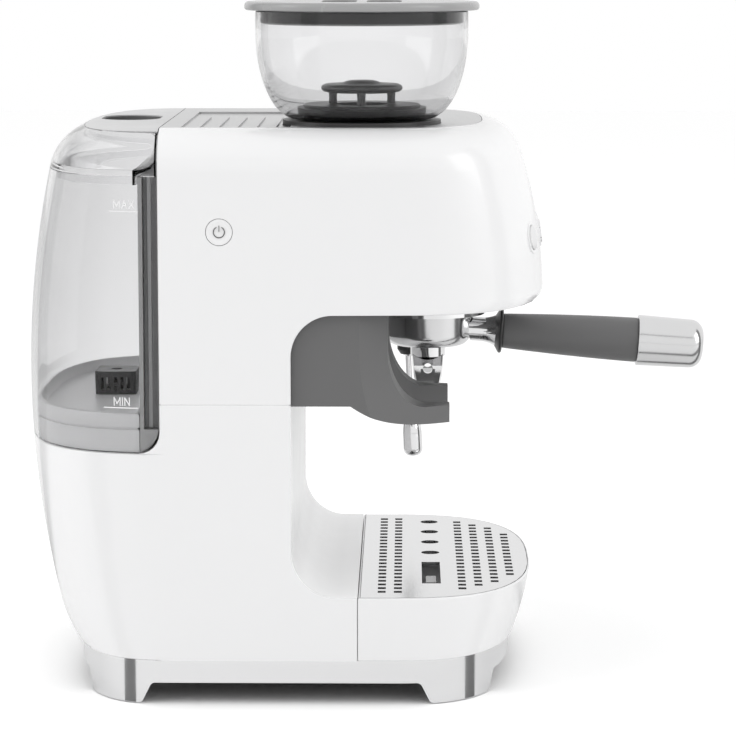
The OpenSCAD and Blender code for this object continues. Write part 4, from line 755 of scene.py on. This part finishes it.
def tank_floor():
    """The frosted floor of the tank with a bead round it, a turned-down rim and the valve's nipple."""
    inset, front = TANK_WALL + LIGHT_GAP, PANEL_Y + TANK_WALL + LIGHT_GAP
    bend, groove, under, top = 153, TANK_FLOOR - 3.7, TANK_FLOOR - TANK_WALL, TANK_FLOOR - 0.05

    def levels(rows):
        return [tank_rings([z], inset + i, front + i)[0] for z, i in rows]

    plate = loft("floor_plate", levels([
        (TANK_LOW + 0.3, 0), (bend, 0), (groove, 0), (groove + 0.2, 1), (groove + 1.3, 1),
        (groove + 1.5, 0), (TANK_FLOOR + 4, 0), (TANK_FLOOR + 5.5, 0.6), (TANK_FLOOR + 6, 1.8)]))
    cut(plate, loft("inner", levels([(top, 5), (top + 1, 4), (top + 3, 3.2), (top + 7, 2.4)])))
    cut(plate, loft("inner", levels([(z, 2) for z in (TANK_LOW - 1, bend, under)])))
    z0, z1 = under - NIPPLE_H, under + 0.5
    add(plate, lathe("nipple", [(PORT_R, z0), (NIPPLE_R, z0), (NIPPLE_R, z1), (PORT_R, z1)],
                     Matrix.Translation((0, VALVE_Y, 0)), 64, closed=False))
    cut(plate, rod("port", 0, VALVE_Y, TANK_LOW, TANK_FLOOR + 1, PORT_R))
    return extra(soften(plate, sharp=40), BODY["tank_shell"], "smoke_plastic", "floor_plastic")


def lid_outline(z, inset):
    drawn = round_in(z - (DECK_Z - SHOULDER_R), SHOULDER_R) + inset
    return rear_plan(drawn, arc_rear(z), TANK_FRONT)


def lid_loft(name, levels, inset):
    return loft(name, [[(x, y, z) for x, y in lid_outline(z, inset)] for z in levels])


SHOULDER = [DECK_Z - SHOULDER_R + SHOULDER_R * math.sin(math.radians(a)) - 0.01 for a in range(6, 91, 6)]


def lid_top():
    """The opaque top of the lid, let into the clear shell."""
    under = DECK_Z - WALL
    top = lid_loft("lid_top", [under] + [z for z in SHOULDER if z > under + 0.1], 0)
    keep(top, prism("plan", lid_outline(under, TANK_WALL + LIGHT_GAP), under - 1, DECK_Z + 1))
    cut(top, prism("recess", stadium(RECESS_R), under - 1, DECK_Z + 1))
    return extra(soften(top, sharp=40), BODY["tank_lid"], "smoke_plastic", "socket_plastic")


def tank_lid():
    """The clear lid, open at the top for the opaque one, with a skirt that reaches into the tank."""
    lid = lid_loft("tank_lid_shell", [LID_Z + GAP] + SHOULDER, 0)
    inner = lid_loft("inner", [LID_Z - 1, 305, 312, 319, DECK_Z - WALL], TANK_WALL)
    cut(inner, block("front", (-200, 0, 0), (200, TANK_FRONT + TANK_WALL / 2, 400)))
    cut(lid, inner)
    rear, front = rear_at(LID_Z), PANEL_Y + TANK_WALL
    skirts = ((LID_Z - 5, LID_Z + GAP + 0.01, TANK_WALL + 1), (LID_Z + GAP, LID_Z + GAP + WALL, 1))
    for z0, z1, out in skirts:
        skirt = prism("skirt", rear_plan(out, rear, front + 1), z0, z1)
        cut(skirt, prism("inner", rear_plan(TANK_WALL + 3, rear, front + 3), z0 - 1, z1 + 1))
        add(lid, skirt)
    cut(lid, prism("top", lid_outline(DECK_Z - WALL, TANK_WALL), DECK_Z - WALL - 0.01, DECK_Z + 1))
    return stands_for(soften(lid, 0.4, sharp=35), "tank_lid")


def stadium(r):
    """Outline of the lid's finger recess, drawn with the end radius r."""
    return arc(9, RECESS_Y, r, -90, 90, 40) + arc(-9, RECESS_Y, r, 90, 270, 40)


# The strokes of each letter, as shares of its height.
LETTERS = {
    "M": [[(0, 0), (0, 1)], [(0, 1), (0.4, 0.25)], [(0.4, 0.25), (0.8, 1)], [(0.8, 1), (0.8, 0)]],
    "I": [[(0, 0), (0, 1)]],
    "N": [[(0, 0), (0, 1)], [(0, 1), (0.6, 0)], [(0.6, 0), (0.6, 1)]],
    "A": [[(0, 0), (0.35, 1)], [(0.35, 1), (0.7, 0)], [(0.14, 0.34), (0.56, 0.34)]],
    "X": [[(0, 0), (0.65, 1)], [(0.65, 0), (0, 1)]],
}
LETTER_GAP = 0.32


def stroke(a, b, width):
    """The four corners of a straight stroke, as [along, up]."""
    a, b = Vector(a), Vector(b)
    ahead = (b - a).normalized() * width / 2
    side = Vector((-ahead.y, ahead.x))
    return [a - ahead - side, b + ahead - side, b + ahead + side, a - ahead + side]


def level_mark(name, word, y, z, h, line):
    """A level's word and the line under it, standing just out of the tank's left wall."""
    strokes, at = [], 0.0
    for letter in word:
        lines = LETTERS[letter]
        strokes += [stroke((at + a * h, b * h), (at + c * h, d * h), 0.55) for (a, b), (c, d) in lines]
        at += (max(p for s in lines for p, _ in s) + LETTER_GAP) * h
    first, last, drop = line
    cells = spread(first, last, 12)
    strokes += [stroke((a, -drop), (b, -drop), 0.6) for a, b in zip(cells, cells[1:])]
    points, faces = [], []
    for corners in strokes:
        start = len(points)
        for proud in (-0.3, 0.06):
            points += [(tank_side(y - u, z + v) - proud, y - u, z + v) for u, v in corners]
        faces += [tuple(start + i for i in f) for f in rings_faces(2, 4)]
    mark = new_object(name, points, faces)
    return extra(clean(mark), BODY["tank_shell"], "white_plastic")


def tank_side(y, z):
    """The tank's left wall at depth y and height z."""
    reach = max(0.0, (y - REAR_START) / (rear_at(z) - REAR_START))
    return -HALF_W * (1 - reach ** PLAN_POWER) ** (1 / PLAN_POWER)


# ---- Hopper --------------------------------------------------------------

SEAT_Z = DECK_Z + 2.3
SEAT_R = 38
HOPPER_R = 61.7
HOPPER_H = 62.5
BOWL_T = 2.4
BOWL_CURVE = 50
MOUTH_R = 26
COVER_R = 68
COVER_TOP = 70.1
COVER_ROUND = 2.5
PLUG_H = 8
PLUG_R = 57.9
AT_HOPPER = Matrix.Translation(HOPPER)


def bowl_radius(h, t):
    share = 1 - min(1.0, (h - t) / (BOWL_CURVE - t))
    return SEAT_R + (HOPPER_R - SEAT_R - t) * math.sqrt(max(0.0, 1 - share ** 2))


def hopper_bowl():
    heights = [BOWL_CURVE * (k / 28) ** 2 for k in range(29)]
    inner = [BOWL_T + (BOWL_CURVE - BOWL_T) * (k / 28) ** 2 for k in range(29)]
    profile = [(MOUTH_R, 0)] + [(bowl_radius(h, 0), h) for h in heights]
    profile += [(HOPPER_R, HOPPER_H - 0.8), (HOPPER_R - 0.3, HOPPER_H - 0.2), (HOPPER_R - 0.8, HOPPER_H)]
    profile += [(HOPPER_R - BOWL_T + 0.8, HOPPER_H), (HOPPER_R - BOWL_T, HOPPER_H - 0.8)]
    profile += [(bowl_radius(h, BOWL_T), h) for h in reversed(inner)] + [(MOUTH_R, BOWL_T)]
    bowl = lathe("hopper_bowl_shell", profile, AT_HOPPER @ Matrix.Translation((0, 0, SEAT_Z)), 160, False)
    return stands_for(soften(bowl, sharp=50, flats=False), "hopper_bowl")


def hopper_guard():
    z = SEAT_Z + BOWL_T + 4
    place = AT_HOPPER @ Matrix.Translation((0, 0, z))
    disc = [(0, 9), (19.5, 9), (22.2, 9.6), (23.5, 10.8), (23.7, 12), (23, 13.2), (21, 14), (12, 14.2),
            (9.5, 15.4), (7, 16), (0, 16.2)]
    guard = lathe("bean_guard", disc, place, 96)
    for a in (60, 180, 300):
        turn = place @ Matrix.Rotation(math.radians(a), 4, "Z") @ Matrix.Translation((19.7, 0, 0))
        add(guard, lathe("leg", [(2.6, 1), (2.3, 5), (2.6, 9.6)], turn, 32))
    add(guard, lathe("foot", [(16, 0), (34, 0), (34, 1.4), (33.4, 2), (16, 2)], place, 96, False))
    return stands_for(soften(guard, 0.4, sharp=40), "hopper_guard")


def hopper_lid():
    low, top, r = corner("hopper_lid", 0).z + PLUG_H, DECK_Z + COVER_TOP, COVER_ROUND
    edge = [(COVER_R - r + r * math.cos(math.radians(a)), top - r + r * math.sin(math.radians(a)))
            for a in range(0, 91, 15)]
    profile = [(0, low), (COVER_R - 1.4, low), (COVER_R - 0.4, low + 0.4), (COVER_R, low + 1.4)] + edge
    lid = lathe("hopper_lid_shell", profile + [(0, top)], AT_HOPPER, 160)
    end = low - PLUG_H
    plug = [(PLUG_R - WALL, end), (PLUG_R - 0.3, end), (PLUG_R, end + 0.3), (PLUG_R, low + 0.01),
            (PLUG_R - WALL, low + 0.01)]
    add(lid, lathe("plug", plug, AT_HOPPER, 160, closed=False))
    for side in (-1, 1):
        y = HOPPER.y + side * 13
        cut(lid, prism("grip", rounded_box(HOPPER.x, y, 72, 20, 9.99, 12), top - 3.6, top + 5))
    return stands_for(soften(lid, 0.5, sharp=40), "hopper_lid")


# ---- Cradle under the grinder --------------------------------------------

FORK_R = 31
FORK_Y = -76
FORK_X = (-120, HOPPER.x - 42, HOPPER.x + 42, 4)
LINING_Z = HEAD_Z + 0.5
CRADLE_FRONT = -94.5
CRADLE_LOW = 159.5
BELLY_Y = -81
BELLY_Z = 203
BELLY = (22, 33.5)


def cradle_level(z):
    """Plan of the cradle at one height: straight flanks, a fold, then faces that run in to the fork."""
    fold = -43 - 9 * max(0.0, (BELLY_Z - z) / (BELLY_Z - CRADLE_LOW)) ** 2
    (x0, x1, x2, x3), tip = FORK_X, CRADLE_FRONT - 1
    return [(x0, COLUMN_Y, z), (x0, fold, z), (x1, tip, z), (x2, tip, z), (x3, fold, z), (x3, COLUMN_Y, z)]


def grinder_cradle():
    """The fairing under the grinder: its side outline, cut to the plan of each level and to the fork."""
    foot, (across, down), depth = SEAM_Z - 1.4, BELLY, 56.5
    side = [(COLUMN_Y, foot)]
    side += [(COLUMN_Y - ARCH_R + y, LINING_Z - ARCH_R + z) for y, z in arc(0, 0, ARCH_R, 0, 90, 24)]
    side.append((BELLY_Y + across, LINING_Z))
    side += [(BELLY_Y + across * math.cos(math.radians(a)), BELLY_Z - down * math.sin(math.radians(a)))
             for a in spread(0, 90, 30)]
    side += [(CRADLE_FRONT, BELLY_Z - down), (CRADLE_FRONT, CRADLE_LOW)]
    side += [(CRADLE_FRONT + depth * k / 24, CRADLE_LOW + (foot - CRADLE_LOW) * (k / 24) ** 3)
             for k in range(25)]
    cradle = side_prism("cradle_shell", side, -130, 130)
    keep(cradle, loft("flanks", [cradle_level(z) for z in spread(158, 203, 14) + [HEAD_Z + 2]]))
    cut(cradle, rod("fork", HOPPER.x, FORK_Y, TRAY_Z, DECK_Z, FORK_R, 160))
    cut(cradle, block("fork", (HOPPER.x - FORK_R, -190, TRAY_Z), (HOPPER.x + FORK_R, FORK_Y, DECK_Z)))
    place = Matrix.Translation((HOPPER.x, -20, 188)) @ Matrix.Rotation(math.radians(90), 4, "X")
    cut(cradle, lathe("hole", [(4.3, 0), (4.3, 60)], place, 48))
    return stands_for(soften(cradle, 1.8, sharp=24), "grinder_cradle")


# ---- Filter holder -------------------------------------------------------

HOLDER_Z = 184.5
HOLDER_R = 26.5
HOLDER_H = 29
HANDLE_Z = 196.1
HANDLE_TURN = math.radians(93.9)
AT_GROUP = Matrix.Translation(GROUP)
ALONG_HANDLE = Matrix.Translation((GROUP.x, GROUP.y, HANDLE_Z)) @ Matrix.Rotation(HANDLE_TURN, 4, "X")
NECK_R = 7.5
FLANGE_S = 42.2
RIM_R, RIM_H, BASKET_R, LUG_R = 28, 5, 23.9, 32.5
GRIP_S = 46.7
ROD_R = 4
ROD_S = 106
GRIP_L = 84
CAP_R = 15.8


def at_handle(s):
    return ALONG_HANDLE @ Matrix.Translation((0, 0, s))


def holder_body():
    """The bowl that the handle carries, with its rim and two bayonet lugs."""
    low, top, rim, rim_z = HOLDER_Z, HOLDER_Z + HOLDER_H, RIM_R, HOLDER_Z + HOLDER_H - RIM_H
    edge = [(HOLDER_R - 7 + r, low + 7 + z) for r, z in arc(0, 0, 7, -90, 0, 14)]
    profile = [(6, low)] + edge + [(HOLDER_R, rim_z - 0.01), (rim - 0.4, rim_z), (rim, rim_z + 0.4)]
    profile += [(rim, top - 0.4), (rim - 0.4, top), (BASKET_R + 2.6, top), (BASKET_R + 2.6, top - 0.8),
                (BASKET_R + 0.3, top - 0.8), (BASKET_R + 0.3, low + 3), (6, low + 3)]
    body = lathe("holder_bowl", profile, AT_GROUP, 160, False)
    for turn in (0, 180):
        outline = arc(0, 0, LUG_R, turn - 18, turn + 18, 16) + arc(0, 0, rim - 1, turn + 18, turn - 18, 16)
        add(body, prism("lug", [(GROUP.x + x, GROUP.y + y) for x, y in outline], rim_z, rim_z + 4))
    return stands_for(soften(body, sharp=40), "portafilter_body", slot="satin_steel")


def holder_neck():
    """The neck that leaves the bowl, with the rod inside the grip."""
    flare = [(NECK_R + 2.2 * (k / 8) ** 2, FLANGE_S - 9 + 9 * k / 8) for k in range(9)]
    profile = [(0, 10), (NECK_R, 10)] + flare + [(ROD_R, FLANGE_S), (ROD_R, ROD_S), (0, ROD_S)]
    neck = lathe("holder_neck", profile, at_handle(0), 128)
    cut(neck, rod("bowl", GROUP.x, GROUP.y, HOLDER_Z - 20, HOLDER_Z + HOLDER_H + 20, HOLDER_R, 160))
    return stands_for(soften(neck, sharp=40), "portafilter_neck")


def handle_grip():
    def radius(t):
        return 10.7 + 3.1 * (1 - (1 - t) ** 1.6)

    profile = [(0, 0), (radius(0) - 0.8, 0), (radius(0) - 0.2, 0.25)]
    profile += [(radius(k / 24), max(0.8, GRIP_L * k / 24)) for k in range(24)]
    profile += [(radius(1), GRIP_L - 0.6), (radius(1) - 0.5, GRIP_L), (0, GRIP_L)]
    grip = lathe("grip_sleeve", profile, at_handle(GRIP_S))
    return stands_for(soften(grip, sharp=50, flats=False), "handle_grip")


def handle_cap():
    r, end, taper, length = 8, 32.97, 0.7, 33
    profile = [(0, 0), (CAP_R - 0.9, 0), (CAP_R - 0.25, 0.25), (CAP_R, 1)]
    profile += [(CAP_R - taper * s / length, s) for s in (7, 14, 20, 26)]
    profile += [(CAP_R - taper - r + r * math.cos(math.radians(a)), end + r * math.sin(math.radians(a)))
                for a in range(0, 91, 6)]
    cap = lathe("end_cap", profile, at_handle(GRIP_S + GRIP_L))
    return stands_for(soften(cap, sharp=50, flats=False), "handle_cap")


def handle_flange():
    """A short cone that opens into a rounded disc in front of the grip."""
    rim = [math.radians(a) for a in range(-60, 91, 15)]
    width, end, r = 14, 4.5, 1.2
    profile = [(ROD_R, 0), (9.7, 0)]
    profile += [(width - r * (1 - math.cos(a)), end - r * (1 - math.sin(a))) for a in rim] + [(ROD_R, end)]
    flange = lathe("flange_disc", profile, at_handle(FLANGE_S), closed=False)
    return stands_for(soften(flange, sharp=50, flats=False), "handle_flange")


# ---- Steam wand ----------------------------------------------------------

ALONG_WAND = Matrix.Translation(WAND) @ Matrix.Rotation(math.radians(177), 4, "X")


def steam_sleeve():
    """The sleeve on the wand's end: a slim mouth that swells, a rounded end and a bore inside."""
    bore, tip, seat = 1.95, 0.8, 23
    mouth, r, taper, length, end = 2.7, 6.2, 18, 31, 5
    profile = [(bore, 0), (mouth - 0.2, 0)]
    profile += [(mouth + (r - mouth) * math.sin(math.pi * k / 32), taper * max(k, 0.2) / 16)
                for k in range(17)]
    profile += [(r - end + end * math.cos(math.radians(a)), length - end + end * math.sin(math.radians(a)))
                for a in range(0, 91, 9)]
    profile += [(tip, length), (tip, seat), (bore, seat)]
    sleeve = lathe("wand_sleeve", profile, ALONG_WAND @ Matrix.Translation((0, 0, 38)), closed=False)
    return stands_for(soften(sleeve, sharp=50, flats=False), "steam_sleeve")


# ---- Power button's icon -------------------------------------------------

def ring_strokes(r, a0, a1, width, steps):
    """A ring's arc as short strokes, as [along, up]."""
    line = arc(0, 0, r, a0, a1, steps)
    return [stroke(a, b, width) for a, b in zip(line, line[1:])]


def power_icon():
    """An open ring with a bar, laid on the power button."""
    face = corner("power_button", 0).x
    y, z = POWER.y, POWER.z
    points, faces = [], []
    for corners in ring_strokes(3.1, -240, 60, 0.5, 24) + [stroke((0, 0.6), (0, 3.4), 0.55)]:
        start = len(points)
        for x in (face + 0.3, face - 0.02):
            points += [(x, y - p.x, z + p.y) for p in corners]
        faces += [tuple(start + i for i in f) for f in rings_faces(2, 4)]
    icon = new_object("power_icon", points, faces)
    return extra(clean(icon), BODY["power_button"], "hopper_lid_plastic")


# ---- Studio --------------------------------------------------------------

SKY = (0.42, 1.1)
BOX_SIZE = (1.6, 1.6)
BOX_AIM = (0, 0, 0.2)
CAMERA_AT = (-1.7507, -0.0692, 0.4298)
CAMERA_YAW = math.radians(0.7455)
CAMERA_PITCH = math.radians(8.2008)
CAMERA_LENS = 142.76

# The edges of the low dark cards, which put the photo's dark strips on the corners of the metal base.
# Each starts at the strip's edge and runs to where the base mirrors the camera's view.
REAR_CARD = [((120.3, 85.2), 43.9), ((117.2, 92), 65.9)]
FRONT_CARD = [((110.3, -103.8), -84), ((104.5, -109.5), -101.5)]


def white_ground(name, lit, seen):
    """Diffuse white that the camera sees with a brighter colour, so that only shadow shows on it."""
    mat = bpy.data.materials.new(name)
    mat.use_nodes = True
    nodes, links = mat.node_tree.nodes, mat.node_tree.links
    nodes.clear()
    out = nodes.new("ShaderNodeOutputMaterial")
    diffuse = nodes.new("ShaderNodeBsdfDiffuse")
    path = nodes.new("ShaderNodeLightPath")
    level = nodes.new("ShaderNodeMapRange")
    level.inputs["To Min"].default_value = lit
    level.inputs["To Max"].default_value = seen
    links.new(path.outputs["Is Camera Ray"], level.inputs["Value"])
    links.new(level.outputs["Result"], diffuse.inputs["Color"])
    links.new(diffuse.outputs["BSDF"], out.inputs["Surface"])
    return mat


def area_light(name, place, power):
    """A soft box aimed at the machine."""
    lamp = bpy.data.lights.new(name, "AREA")
    lamp.shape = "RECTANGLE"
    lamp.size, lamp.size_y = BOX_SIZE
    lamp.energy = power
    obj = bpy.data.objects.new(name, lamp)
    bpy.context.scene.collection.objects.link(obj)
    obj.location = place
    obj.rotation_euler = (Vector(BOX_AIM) - Vector(place)).to_track_quat("-Z", "Y").to_euler()


def world():
    """White where it is seen, directly, in metal or through plastic; softer near the horizon as light."""
    sky = bpy.data.worlds.new("studio")
    bpy.context.scene.world = sky
    sky.use_nodes = True
    nodes, links = sky.node_tree.nodes, sky.node_tree.links
    place = nodes.new("ShaderNodeTexCoord")
    axes = nodes.new("ShaderNodeSeparateXYZ")
    links.new(place.outputs["Generated"], axes.inputs["Vector"])
    light = nodes.new("ShaderNodeMapRange")
    light.inputs["To Min"].default_value, light.inputs["To Max"].default_value = SKY
    links.new(axes.outputs["Z"], light.inputs["Value"])
    path = nodes.new("ShaderNodeLightPath")
    total = path.outputs["Is Camera Ray"]
    for name in ("Is Glossy Ray", "Is Transmission Ray"):
        most = nodes.new("ShaderNodeMath")
        most.operation = "MAXIMUM"
        links.new(total, most.inputs[0])
        links.new(path.outputs[name], most.inputs[1])
        total = most.outputs["Value"]
    level = nodes.new("ShaderNodeMapRange")
    level.inputs["To Max"].default_value = 1.0
    links.new(total, level.inputs["Value"])
    links.new(light.outputs["Result"], level.inputs["To Min"])
    links.new(level.outputs["Result"], nodes["Background"].inputs["Strength"])
    nodes["Background"].inputs["Color"].default_value = (1, 1, 1, 1)


def fan(side, edges):
    """A card's corners: it lies on the floor from the base outwards, then stands up. Each edge starts
    at a point [x, y] of the base and keeps to its bearing, on the given side of the machine."""
    near = [(side * x, y) for (x, y), _ in edges]
    far = [(side * (x + 1200 * math.cos(math.radians(a))), y + 1200 * math.sin(math.radians(a)))
           for (x, y), a in edges]
    points = [(x, y, 0.8) for x, y in near + far] + [(x, y, 1500) for x, y in far]
    return points, [(0, 1, 3, 2), (2, 3, 5, 4)]


def flag(name, points, faces):
    """A dark studio card that shows only in reflections."""
    card = new_object(name, points, faces)
    card.data.materials.append(LOOKS["grey_plastic"])
    card.visible_camera = card.visible_diffuse = card.visible_shadow = card.visible_transmission = False


def studio():
    size = 6000
    floor = new_object("floor", [(-size, -size, 0), (size, -size, 0), (size, size, 0), (-size, size, 0)],
                       [(0, 1, 2, 3)])
    floor.data.materials.append(white_ground("floor_white", 0.9, 1.13))
    world()
    area_light("rear_box", (-0.8, 2.0, 1.2), 14.8)
    area_light("front_box", (-0.8, -2.1, 1.2), 15)
    # The high card puts the dark line in the end cap of the filter holder's handle.
    x, y, low, high = -1500, 900, 1170, 1300
    flag("high_flag", [(x, -y, low), (x, y, low), (x, y, high), (x, -y, high)], [(0, 1, 2, 3)])
    for side in (-1, 1):
        flag("rear_flag", *fan(side, REAR_CARD))
        flag("front_flag", *fan(side, FRONT_CARD))
    bpy.context.scene.view_settings.view_transform = "Standard"


def photo_camera():
    """The camera at the photograph's viewing angle."""
    camera = bpy.data.cameras.new("photo_camera")
    camera.lens = CAMERA_LENS
    camera.sensor_width = 36
    camera.clip_start, camera.clip_end = 0.05, 30
    obj = bpy.data.objects.new("photo_camera", camera)
    bpy.context.scene.collection.objects.link(obj)
    obj.location = CAMERA_AT
    level = math.cos(CAMERA_PITCH)
    ahead = Vector((level * math.cos(CAMERA_YAW), level * math.sin(CAMERA_YAW), -math.sin(CAMERA_PITCH)))
    obj.rotation_euler = ahead.to_track_quat("-Z", "Y").to_euler()
    bpy.context.scene.camera = obj


# ---- Making --------------------------------------------------------------

# CAD solids that show in another look than their slot's.
PLAIN = {"tank_socket": "socket_plastic", "top_plate": "plate_steel"}

studio()
photo_camera()
for node, obj in frame["nodes"].items():
    obj.data.materials.clear()
    obj.data.materials.append(LOOKS[PLAIN.get(node, SLOT[node])])

lower_body()
upper_body()
drip_tray()
base_frame()
tank_shell()
tank_front()
tank_floor()
tank_panel()
tank_lid()
lid_top()
recess_cup()
hopper_bowl()
hopper_guard()
hopper_lid()
grinder_cradle()
holder_body()
holder_neck()
handle_grip()
handle_cap()
handle_flange()
steam_sleeve()
power_icon()
level_mark("level_low", "MIN", 95.5, 173.6, 4.3, (-5.5, 13.5, 1.4))
level_mark("level_high", "MAX", 94.5, 285.4, 4.1, (-2.5, 13.5, 1.9))

bpy.context.view_layer.update()
